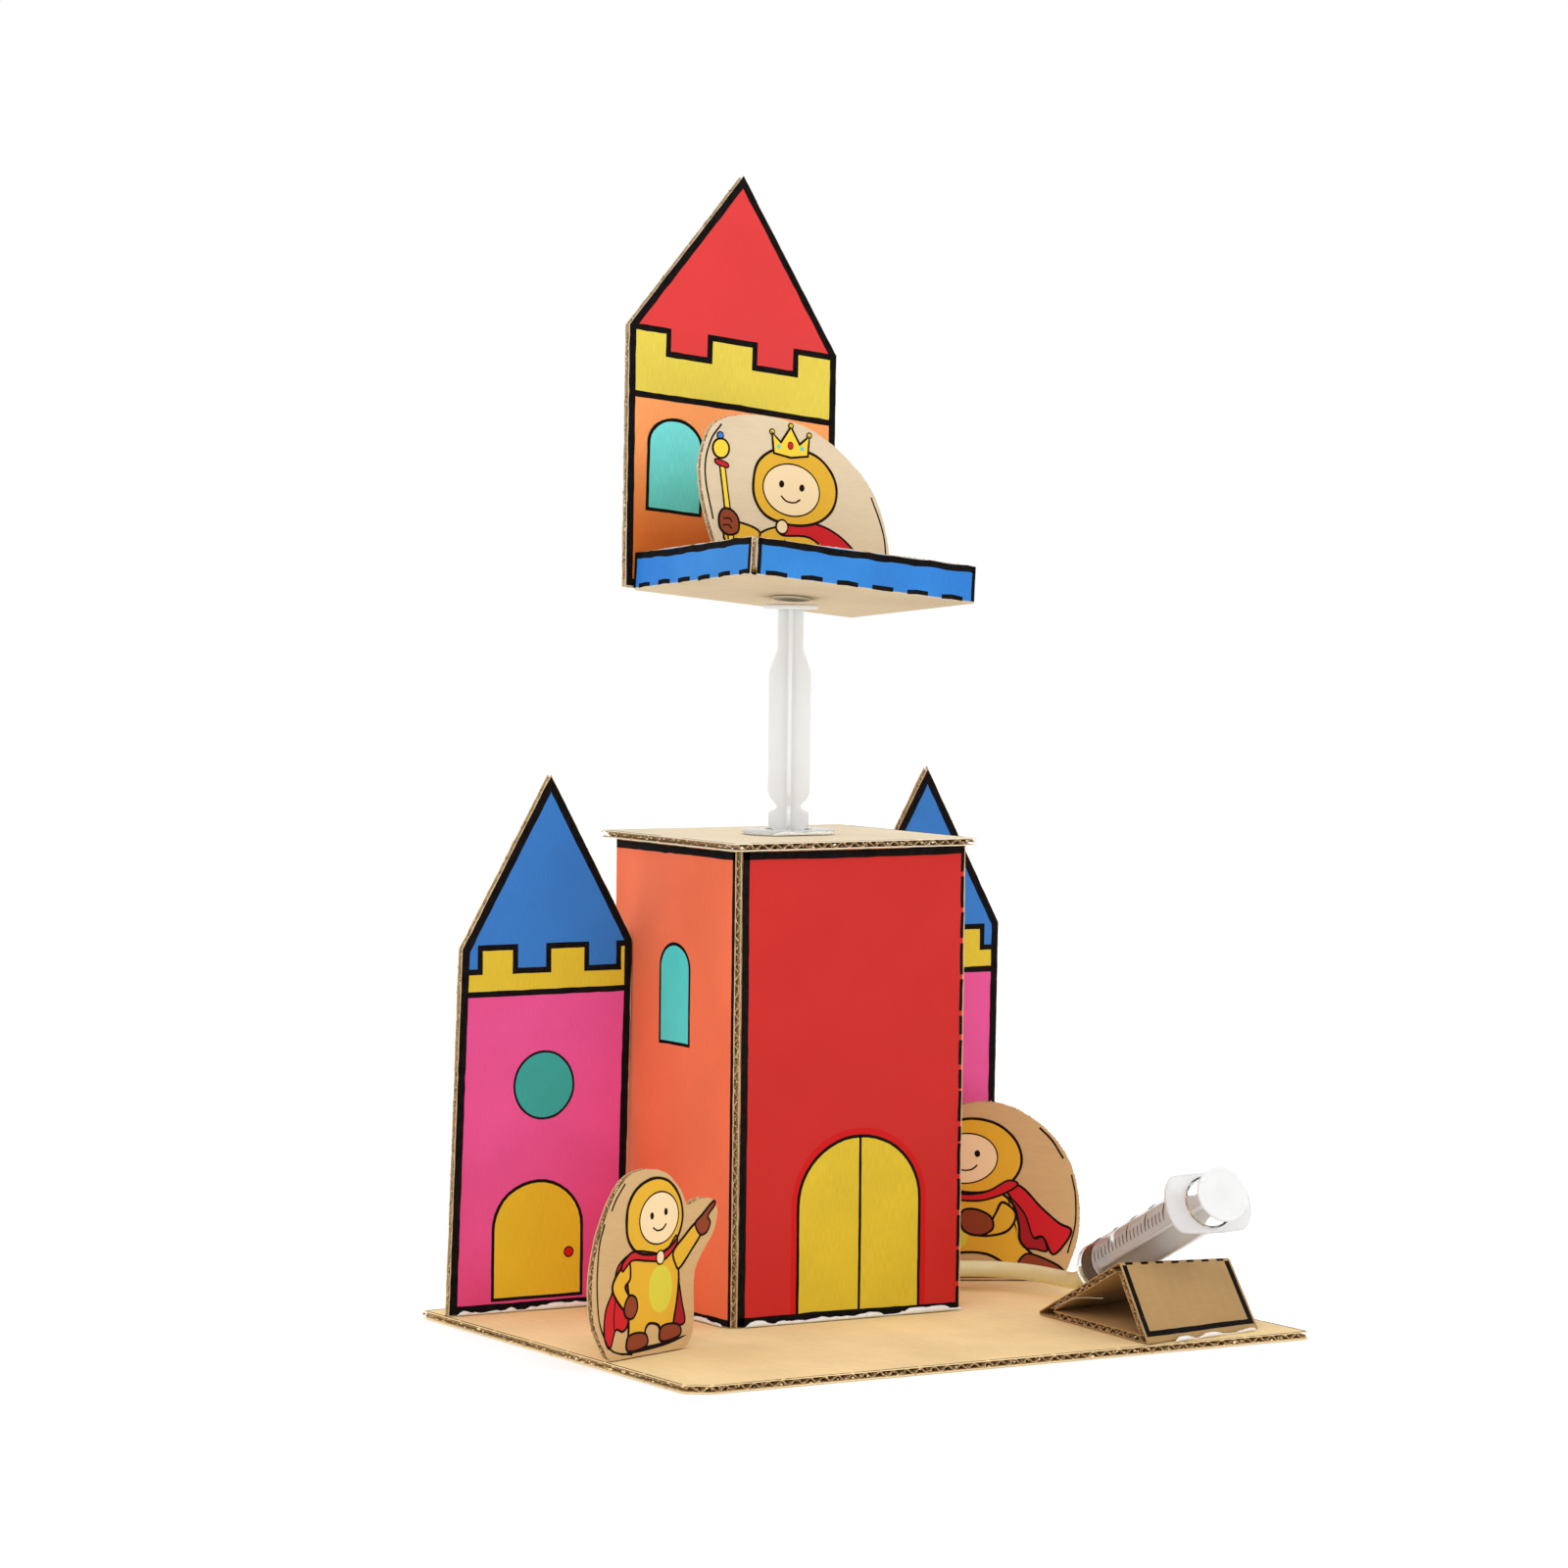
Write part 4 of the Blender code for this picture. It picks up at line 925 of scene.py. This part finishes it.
def runner_art(art):
    art.inked(blob([(-36, 43), (-26, 41), (-17, 32), (-9, 25), (-3.6, 22), (-6.2, 16), (-11.6, 11.4), (-16, 19), (-22, 18), (-25, 25), (-30, 36)]), 0, "cape", 1.0)
    art.inked(blob([(-31, 36), (-24, 29), (-20, 18.6), (-16, 18.8), (-14, 13), (-19, 13.6), (-25, 15), (-28, 24)]), 2, "cape_dark", 0.8)
    body = [
        (-60, 36), (-48, 38.6), (-36, 38.4), (-29, 33), (-26.4, 24), (-25.6, 17), (-20, 11), (-15, 6), (-20, 2.6),
        (-30, 6), (-40, 11.4), (-52, 12), (-62, 8), (-68, 10), (-66, 20),
    ]
    art.inked(blob(body), 3, "suit", 1.15)
    art.fill(ellipse(-54.6, 21.6, 6.4, 8.6, 6), 5, "suit_pale")
    art.inked(blob([(-23.4, 11.4), (-17.8, 10.6), (-9, 6.4), (-5.8, 2.4), (-9.4, 1.8), (-15, 2.6), (-21, 4.4), (-26.6, 6.6)]), 6, "glove", 0.95)
    art.inked(blob([(-33.6, 34), (-27.8, 29), (-31, 21.8), (-40, 19.4), (-48, 20.8), (-46.6, 25.8), (-39.4, 25.4), (-36.6, 29)]), 6, "suit", 1.05)
    art.inked(blob([(-52, 26.6), (-50.4, 30.6), (-44.6, 30.8), (-38.6, 27.6), (-37.8, 22.4), (-43.4, 19.6), (-50, 21.4)]), 8, "glove", 0.95)
    hood = [(-68, 51), (-66, 60.4), (-58, 67.6), (-47, 70.2), (-36, 67.6), (-28, 60.4), (-25.6, 51), (-30, 42.8), (-40, 38.6), (-52, 38.6), (-63, 42.6)]
    art.inked(blob(hood), 6, "suit", 1.15)
    face_of(art, -49.6, 53.0, 13.6, 10.8, 8, 4.0)
    art.inked(blob([(-58, 39.6), (-50, 37.4), (-40, 38.8), (-31.4, 43.4), (-27, 41.6), (-34, 37.4), (-44, 34.6), (-56, 35.6)]), 9, "cape", 0.85)
    art.inked(ellipse(-55.6, 36.4, 2.7, 2.7, sides=20), 11, "skin", 0.6)
    art.line([(-60, 1.5), (-30, 1.7), (-8, 1.6)], 0.8, 0, "print_ink")
    art.line(curve([(-18, 66.4), (-12, 60.4), (-7.4, 53)]), 0.9, 0, "print_ink")
    art.line(curve([(-3.8, 46), (-1.8, 36), (-2, 24), (-5, 12)]), 0.7, 0, "print_ink")


def smooth_outline(points):
    lowest = min(y for _, y in points)
    return [(x, max(y, lowest)) for x, y in blob(points, 3)]


def build_standees():
    king = [
        (-33.5, 3.6), (-36.5, 14), (-43.8, 31), (-47.6, 48), (-45.4, 61), (-40, 69), (-25.6, 73.2),
        (-8.8, 73.4), (8, 70), (26, 60.2), (39.6, 47), (47, 30), (49.2, 15), (47.4, 3.6), (30, 3.6),
        (7, 3.6), (-16, 3.6),
    ]
    herald = [
        (0, 0.3), (-5.4, 6), (-11, 17), (-12.1, 32), (-9, 46), (-2.8, 59), (6, 69.6), (18, 73), (31, 70.8),
        (40.2, 63.4), (44.6, 56.8), (52, 58.4), (59.4, 58), (63.4, 53.6), (61.4, 45.4), (55, 38), (49.6, 30),
        (49.2, 19), (49, 8), (46, 2), (41.5, 0.3), (28, 0.3), (14, 0.3),
    ]
    runner = [
        (-64, 0.3), (-37, 0.3), (-10, 0.3), (-3.6, 9), (-0.4, 20), (0, 31), (-1.4, 42), (-5, 52.6),
        (-11, 61.6), (-19, 69), (-28.6, 74.6), (-39, 77.4), (-50, 76.6), (-60, 72), (-68.4, 64),
        (-74, 53), (-77, 40.6), (-77, 28), (-74.4, 15), (-70, 6),
    ]
    for name, outline, place, body, liner, draw, seed in (
        ("king", king, CARRIAGE @ standing((0, 0, 0)), "lift_carriage", "disc", king_art, 15.0),
        ("herald", herald, standing((-143.35, -43.4, FLOOR_Z), math.radians(19.7)), "castle", "standee", herald_art, 16.0),
        ("runner", runner, standing((143.35, 50.5, FLOOR_Z), math.radians(-28.0)), "castle", "standee", runner_art, 17.0),
    ):
        board = Shape(place)
        corrugated(board, [smooth_outline(outline)], "X", liner, seed=seed)
        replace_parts(board.make(name + "_board", body, "standee_board"), name + "_standee")
        art = Shape(place)
        draw(art)
        art.make(name + "_print", body, "standee_board")


# ---------------------------------------------------------------- folded stand


def stand_place(start, end):
    """Maps a panel's own (along the slope, width, height) to the skewed, sagging stand."""
    a, b = Vector(start), Vector(end)
    along = (b - a).normalized()
    out = Vector((-along.y, along.x))
    width_axis = Vector((math.cos(math.radians(10.5)), math.sin(math.radians(10.5)), 0))
    depth_axis = Vector((math.sin(math.radians(4.5)), math.cos(math.radians(4.5)), 0))

    def place(p):
        v, z = a + along * p.x + out * (p.z - BOARD / 2)
        z *= 1 - STAND_SAG * p.y / STAND_WIDTH
        return STAND_CORNER + width_axis * p.y + depth_axis * v + Vector((0, 0, z))

    return place, (b - a).length


def build_stand():
    foot, heel, ridge = (0.0, 0.0), (STAND_DEPTH, 0.0), STAND_RIDGE
    whole = Shape()
    art = None
    blunt = 3.6
    for start, end, cut_start, cut_end, trim_start, trim_end, seed in (
        (foot, ridge, 0.5, 0.5, 5.0, 3.6, 18.0),
        (ridge, heel, 0.5, blunt, 3.6, 15.0, 19.0),
        (heel, foot, blunt, 0.5, 15.0, 5.0, 20.0),
    ):
        place, length = stand_place(start, end)
        panel = Shape(place)
        outer = [
            (cut_start, 0), (length - cut_end, 0), (length - cut_end, STAND_WIDTH), (cut_start, STAND_WIDTH)
        ]
        inner = [
            (trim_start, 0), (length - trim_end, 0), (length - trim_end, STAND_WIDTH), (trim_start, STAND_WIDTH)
        ]
        corrugated(panel, [outer], "Y", "stand", [inner], seed)
        whole.join(panel)
        if art is None:
            art = Shape(place)
            w = STAND_WIDTH
            frame_line = [(length - 1.6, 2.2), (4.4, 2.2), (4.4, w - 2.4), (length - 1.6, w - 2.4)]
            art.line(frame_line, 2.5, 1)
            y = 3.0
            while y < w - 6:
                art.line([(length - 0.9, y), (length - 0.8, y + 4.2)], 1.1, 2, wobble=0.3)
                y += 9.0
    under, _ = stand_place(heel, foot)
    crease = Shape(lambda p: under(Vector((p.x, p.z, BOARD / 2 - p.y))))
    crease.prism([fold_arc(blunt + 0.1, 0.82, 0.82, 95, 175)], 0.1, STAND_WIDTH - 0.1, "stand")
    whole.join(crease)
    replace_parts(whole.make("stand_board", "castle", "stand_board"), "syringe_stand")
    art.make("stand_lines", "castle", "stand_board")


# ---------------------------------------------------------------- syringes


def lathe(shape, profile, colour, sides=56):
    """A turned solid about local Z from a closed profile of (radius, z), clear of the axis."""
    rings = []
    for i in range(sides):
        a = 2 * math.pi * i / sides
        rings.append([(r * math.cos(a), r * math.sin(a), z) for r, z in profile])
    shape.rings(rings, colour, closed=True)


def spindle(shape, profile, colour, sides=56):
    """A turned solid about local Z from an open profile, capped at both ends."""
    rings = [
        [(r * math.cos(2 * math.pi * i / sides), r * math.sin(2 * math.pi * i / sides), z) for i in range(sides)]
        for r, z in profile
    ]
    shape.rings(rings, colour)


def build_barrel(name, node, place, body, print_turn):
    barrel = Shape(place)
    r, bore, length = BARREL_RADIUS, BORE_RADIUS, BARREL_LENGTH
    profile = [
        (r, length - 3.4), (r, 1.4), (r - 0.4, 0.5), (r - 1.2, 0.0), (3.6, 0.0), (2.9, -0.5), (2.6, -1.6),
        (2.35, -7.0), (2.15, -11.6), (1.95, -12.0), (1.1, -12.0), (1.1, 1.5), (bore - 0.8, 1.5), (bore, 2.4),
        (bore, length - 0.4), (bore + 0.3, length), (r + 0.2, length), (r + 0.2, length - 2.0),
    ]
    lathe(barrel, profile, "barrel")
    # Finger flange: an oval with rounded edges round the open end
    rings = []
    for inset_by, z in ((0.5, -2.0), (0.12, -1.8), (0.0, -1.4), (0.0, -0.6), (0.12, -0.2), (0.5, 0.0)):
        ring = []
        for i in range(72):
            a = 2 * math.pi * i / 72
            ear = 11.5 * max(-1.0, min(1.0, 3.2 * math.cos(a)))
            ring.append((ear + (8.0 - inset_by) * math.cos(a), (12.5 - inset_by) * math.sin(a), length + z))
        rings.append(ring)
    hole = [
        [((r + 0.25) * math.cos(2 * math.pi * i / 72), (r + 0.25) * math.sin(2 * math.pi * i / 72), ring[0][2]) for i in range(72)]
        for ring in rings
    ]
    loop = [list(p) for p in rings] + [list(p) for p in hole[::-1]]
    barrel.rings(loop, "flange", closed=True)
    piece = barrel.make(name + "_clear", body, "barrel_plastic", 35)
    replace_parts(piece, node)

    def wrap(p):
        turn = print_turn + p.x / (r + 0.02)
        high = r + 0.02 + p.z
        return place @ Vector((high * math.cos(turn), high * math.sin(turn), p.y))

    scale = Shape(wrap)
    for i in range(21):
        y = 14.0 + 3.1 * i
        width = 7.5 if i % 5 == 0 else 4.2
        steps = [(-width / 2 + width * k / 5 + (7.5 - width) / 2, y) for k in range(6)]
        loop = [(x, y - 0.25) for x, _ in steps] + [(x, y + 0.25) for x, _ in reversed(steps)]
        scale.prism([loop], 0.0, 0.06, "tick")
    for i in range(5):
        for loop in digits(str(5 * i)):
            scale.prism([[(across - 8.2, along + 14.0 + 15.5 * i) for along, across in loop]], 0.0, 0.06, "tick")
    scale.make(name + "_scale", body, "barrel_plastic")


def digits(text):
    """Outlines of plain printed numerals, as straight strokes on a small grid."""
    strokes = {
        "0": [[(0, 0), (0, 2), (1, 2), (1, 0), (0, 0)]],
        "1": [[(0.5, 0), (0.5, 2)]],
        "2": [[(0, 2), (1, 2), (1, 1), (0, 1), (0, 0), (1, 0)]],
        "5": [[(1, 2), (0, 2), (0, 1), (1, 1), (1, 0), (0, 0)]],
    }
    for k, letter in enumerate(text):
        for stroke in strokes[letter]:
            points = [(-1.2 + y * 1.2, -(x * 1.2 + k * 1.9 - 0.95 * (len(text) - 1) - 0.6)) for x, y in stroke]
            for a, b in zip(points, points[1:]):
                d = Vector((b[0] - a[0], b[1] - a[1])).normalized() * 0.24
                n = Vector((-d.y, d.x))
                yield [
                    (a[0] - d.x + n.x, a[1] - d.y + n.y), (b[0] + d.x + n.x, b[1] + d.y + n.y),
                    (b[0] + d.x - n.x, b[1] + d.y - n.y), (a[0] - d.x - n.x, a[1] - d.y - n.y),
                ]


def build_plunger(name, node, place, body):
    """Cross-ribbed plunger: local Z = 0 is the thumb plate's outer face."""
    rod = Shape(place)
    t = 0.8
    side = [
        (5.0, -1.6), (5.3, -2.6), (5.3, -17.6), (5.5, -19.4), (8.5, -27.4), (8.8, -29.2), (8.8, -77.2), (8.5, -78.6),
        (7.6, -80.4), (5.2, -83.2), (5.0, -84.0), (5.4, -84.8), (8.2, -86.2), (8.4, -87.0), (8.4, -91.2), (8.0, -92.2),
        (6.6, -93.6), (6.6, -94.4),
    ]
    rings = []
    for w, z in side:
        b = 0.35
        corner = [(w, -t + b), (w, t - b), (w - b, t), (t + b, t), (t, t + b), (t, w - b)]
        ring = []
        for quarter in range(4):
            c, s = [(1, 0), (0, 1), (-1, 0), (0, -1)][quarter]
            ring += [(x * c - y * s, x * s + y * c, z) for x, y in corner]
        rings.append(ring)
    rod.rings(rings, "plunger")
    plate = [(10.6, -2.0), (11.1, -1.8), (11.25, -1.3), (11.25, -0.7), (11.1, -0.2), (10.6, 0.0), (9.6, 0.0), (9.3, -0.25), (0.4, -0.25)]
    spindle(rod, [(0.4, -2.0), *plate], "plunger")
    spindle(rod, [(0.4, -93.9), (8.3, -93.9), (8.6, -94.2), (8.6, -95.2), (8.3, -95.5), (3.4, -95.5), (3.4, -99.8), (3.0, -100.4), (0.4, -100.4)], "plunger", 40)
    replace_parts(rod.make(name + "_rod", body, "plunger_plastic", 35), node)


def build_seal(name, node, place, body):
    seal = Shape(place)
    lip, waist = 9.38, 8.8
    profile = [
        (lip - 0.3, 0.0), (lip, -0.35), (lip, -1.5), (lip - 0.25, -1.9), (waist, -2.5), (waist, -5.1), (lip - 0.25, -5.6),
        (lip, -6.0), (lip, -7.0), (lip - 0.4, -7.5), (5.0, -8.5), (0.3, -9.2), (0.3, -5.6), (3.7, -5.6), (3.7, 0.0),
    ]
    lathe(seal, profile, "seal", 48)
    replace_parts(seal.make(name + "_rubber", body, "seal_rubber", 35), node)


def hand_matrix(distance):
    axis = Vector((
        math.sin(HAND_TURN) * math.cos(HAND_RISE),
        -math.cos(HAND_TURN) * math.cos(HAND_RISE),
        math.sin(HAND_RISE),
    ))
    across = axis.cross(Vector((0, 0, 1))).normalized()
    turn = Matrix((across, axis.cross(across), axis)).transposed().to_4x4()
    return Matrix.Translation(HAND_TIP + axis * distance) @ turn, axis


def build_syringes():
    lift = Matrix.Translation((LIFT_X, LIFT_Y, LIFT_FLANGE_TOP - BARREL_LENGTH))
    build_barrel("lift_barrel", "lift_barrel", lift, "castle", math.radians(-120))
    top = Matrix.Translation((LIFT_X, LIFT_Y, LIFT_PLATE_TOP)) @ Matrix.Rotation(math.radians(-32), 4, "Z")
    build_plunger("lift_plunger", "lift_plunger", top, "lift_carriage")
    seal_drop = Matrix.Translation((0, 0, -PLUNGER_LENGTH - GAP))
    build_seal("lift_seal", "lift_seal", Matrix.Translation((LIFT_X, LIFT_Y, LIFT_PLATE_TOP)) @ seal_drop, "lift_ram")

    hand, _ = hand_matrix(0)
    build_barrel("hand_barrel", "hand_barrel", hand, "castle", math.radians(-14))
    plate, _ = hand_matrix(BARREL_LENGTH + 12.0)
    build_plunger("hand_plunger", "hand_plunger", plate @ Matrix.Rotation(math.radians(23), 4, "Z"), "hand_rod")
    build_seal("hand_seal", "hand_seal", plate @ seal_drop, "hand_ram")


# The tube's centre line in millimetres, from one nozzle to the other; each end is pushed 8 mm over its nozzle.
TUBE_ROUTE = [
    (-6.35, 52.1, 103.0), (-6.35, 52.1, 94.8), (-6.3, 52.1, 82.0), (-5.2, 52.1, 67.0), (-1.2, 52.1, 51.6),
    (7.6, 52.1, 37.0), (20.6, 52.1, 25.4), (35.6, 52.1, 17.4), (50.8, 52.3, 12.9), (63.5, 54.2, 11.8),
    (74.4, 55.2, 12.0), (84.8, 53.6, 12.1), (94.2, 48.8, 12.0), (101.7, 41.4, 11.8), (106.4, 32.0, 11.6),
    (108.0, 21.6, 11.5), (107.4, 11.4, 11.7), (105.6, 3.0, 12.2), (103.5, -4.4, 13.5),
    (102.05, -11.2, 15.9), (101.4, -18.6, 19.1),
]
TUBE_OUTER, TUBE_INNER = 3.5, 2.45


def sweep(shape, points, radii, colour, sides=16, inner=None, squash=1.0):
    """A round wire or, with an inner radius, a hollow tube, along the points."""
    rings, hollow = [], []
    side = Vector((0, 1, 0))
    count = len(points)
    for i, p in enumerate(points):
        ahead = (points[min(i + 1, count - 1)] - points[max(i - 1, 0)]).normalized()
        side = (side - ahead * side.dot(ahead)).normalized()
        up = ahead.cross(side)
        turns = [2 * math.pi * k / sides for k in range(sides)]
        rings.append([p + (side * math.cos(t) + up * math.sin(t) * squash) * radii[i] for t in turns])
        if inner:
            hollow.append([p + (side * math.cos(t) + up * math.sin(t)) * inner for t in turns])
    if inner:
        shape.rings(rings + hollow[::-1], colour, closed=True)
    else:
        shape.rings(rings, colour)


def build_tube():
    points = catmull(TUBE_ROUTE, 6)
    tube = Shape()
    sweep(tube, points, [TUBE_OUTER] * len(points), "tube", 28, TUBE_INNER)
    piece = tube.make("hydraulic_tube_pvc", "castle", "tube_plastic", 50)
    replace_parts(piece, "hydraulic_tube")


# ---------------------------------------------------------------- hot glue


def glue(name, start, end, radius=1.3, body="castle", place=Matrix(), hairs=()):
    """A bead of hot glue: swollen and pinched, thin in places, with rounded ends."""
    a, b = Vector(start), Vector(end)
    bead = Shape(place)
    count = max(8, int((b - a).length / 1.3))
    points, radii = [], []
    for i in range(count + 1):
        t = i / count
        p = a.lerp(b, t)
        swell = noise.noise(p * 0.13 + Vector((len(name), 0, 0)))
        fine = noise.noise(p * 0.5)
        edge = min(1.0, math.sqrt(max(0.0, min(t, 1 - t) * count / 2.2)) + 0.12)
        thick = radius * edge * max(0.22, min(1.0, 0.66 + 0.9 * swell + 0.25 * fine))
        # The underside stays on the board.
        points.append(p - Vector((0, 0, (radius - thick) * 0.9)))
        radii.append(thick)
    sweep(bead, points, radii, "glue", 10)
    for hair in hairs:
        line = catmull(hair, 5)
        sweep(bead, line, [0.13] * len(line), "glue", 5)
    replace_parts(bead.make(name + "_bead", body, "hot_glue", 60), name)


def build_glue():
    r, z = 1.6, FLOOR_Z + 1.3
    left_y, right_y = 87.5 - r, 93.5 - r
    glue("glue_keep_front", (KEEP_LEFT + 6, KEEP_FRONT - r, z), (KEEP_RIGHT, KEEP_FRONT - r, z))
    glue("glue_keep_left", (KEEP_LEFT - r, KEEP_FRONT + 4, z), (KEEP_LEFT - r, 83.5, z))
    glue("glue_keep_right", (KEEP_RIGHT + r, KEEP_FRONT + 3, z), (KEEP_RIGHT + r, 44.1, z))
    inner = (KEEP_LEFT + BOARD + r + GAP, KEEP_FRONT + BOARD + r + GAP)
    glue("glue_keep_seam", (*inner, 12), (*inner, 182))
    glue("glue_left_tower", (-142, left_y, z), (-68, left_y, z))
    glue("glue_left_tower_back", (-130, left_y + 2 * r + BOARD, z), (-72, left_y + 2 * r + BOARD, z))
    glue("glue_right_tower", (60, right_y, z), (122, right_y, z))
    glue("glue_right_tower_back", (60, right_y + 2 * r + BOARD, z), (120, right_y + 2 * r + BOARD, z))
    for name, foot, turn, low, high in (
        ("glue_herald", Vector((-143.35, -43.4, FLOOR_Z)), math.radians(19.7), 8, 40),
        ("glue_runner", Vector((143.35, 50.5, FLOOR_Z)), math.radians(-28.0), -60, -16),
    ):
        turn = Matrix.Rotation(turn, 3, "Z")
        behind = turn @ Vector((0, BOARD + r, 1.3))
        along = turn @ Vector((1, 0, 0))
        glue(name, foot + along * low + behind, foot + along * high + behind)
    along = Vector((math.cos(math.radians(10.5)), math.sin(math.radians(10.5)), 0))
    front = STAND_CORNER + Vector((0, -2.0, 0.98))
    hairs = [
        [STAND_CORNER + Vector(p) for p in ((6.5, 77, 3.6), (3.0, 55, 11.0), (3.4, 36, 13.5))],
        [STAND_CORNER + Vector(p) for p in ((7.0, 76, 4.0), (6.0, 62, 9.0), (5.0, 50, 14.6))],
    ]
    glue("glue_stand", front + along * 14, front + along * 62, 0.98, hairs=hairs)
    top = BOARD + GAP + 1.3
    back = TRAY_BACK - r - GAP
    glue("glue_king", (-30, -r, top), (44, -r, top), 1.3, "lift_carriage", CARRIAGE)
    glue("glue_backdrop", (-46, back, top), (42, back, top), 1.3, "lift_carriage", CARRIAGE)
    x, y = TRAY_LEFT + BOARD + r + GAP, TRAY_FRONT + BOARD + r + GAP
    glue("glue_tray_corner", (x, y, top + 1), (x, y, 14), 1.3, "lift_carriage", CARRIAGE)
    collar = Shape(CARRIAGE)
    spindle(collar, [(0.4, -1.1), (7.2, -1.1), (8.0, -0.8), (7.9, -0.4), (7.4, -0.3), (0.4, -0.3)], "pad", 40)
    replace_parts(collar.make("glue_thumb_plate_pad", "lift_carriage", "hot_glue", 60), "glue_thumb_plate")
    low = LIFT_FLANGE_TOP - 2.0 + 1.1
    glue("glue_lift_flange", (LIFT_X - 16, LIFT_Y - 13.6, low), (LIFT_X + 14, LIFT_Y - 14.2, low), 1.0)


# ---------------------------------------------------------------- floor and light


def build_studio():
    floor = bpy.data.objects.new("studio_floor", bpy.data.meshes.new("studio_floor"))
    cage = bmesh.new()
    bmesh.ops.create_circle(cage, cap_ends=True, segments=96, radius=9.0)
    bmesh.ops.translate(cage, vec=(0, 0, -0.0004), verts=cage.verts)
    cage.to_mesh(floor.data)
    cage.free()
    white = Finish("studio_white", roughness=0.9, Specular_IOR_Level=0.0)
    white.shader.inputs["Base Color"].default_value = (0.9, 0.9, 0.9, 1)
    white.shader.inputs["Emission Color"].default_value = (1, 1, 1, 1)
    white.shader.inputs["Emission Strength"].default_value = 0.2
    floor.data.materials.append(white.material)
    bpy.context.scene.collection.objects.link(floor)

    world = bpy.data.worlds.new("studio")
    world.use_nodes = True
    world.node_tree.nodes["Background"].inputs["Color"].default_value = (1, 1, 1, 1)
    world.node_tree.nodes["Background"].inputs["Strength"].default_value = 1.0
    bpy.context.scene.world = world
    for name, place, aim, size, power in (
        ("key", (-1.6, -1.9, 2.2), (0, 0, 0.2), 1.6, 18),
        ("fill", (1.9, -1.5, 1.3), (0, 0, 0.25), 1.8, 4),
    ):
        data = bpy.data.lights.new(name, "AREA")
        data.size = size
        data.energy = power
        lamp = bpy.data.objects.new(name, data)
        bpy.context.scene.collection.objects.link(lamp)
        lamp.location = place
        lamp.rotation_euler = (Vector(aim) - Vector(place)).to_track_quat("-Z", "Y").to_euler()
    bpy.context.scene.view_settings.view_transform = "Standard"


make_camera()
build_tube()
build_base()
build_keep()
build_towers()
build_tray()
build_backdrop()
build_standees()
build_stand()
build_syringes()
build_glue()
build_studio()

bpy.context.view_layer.update()
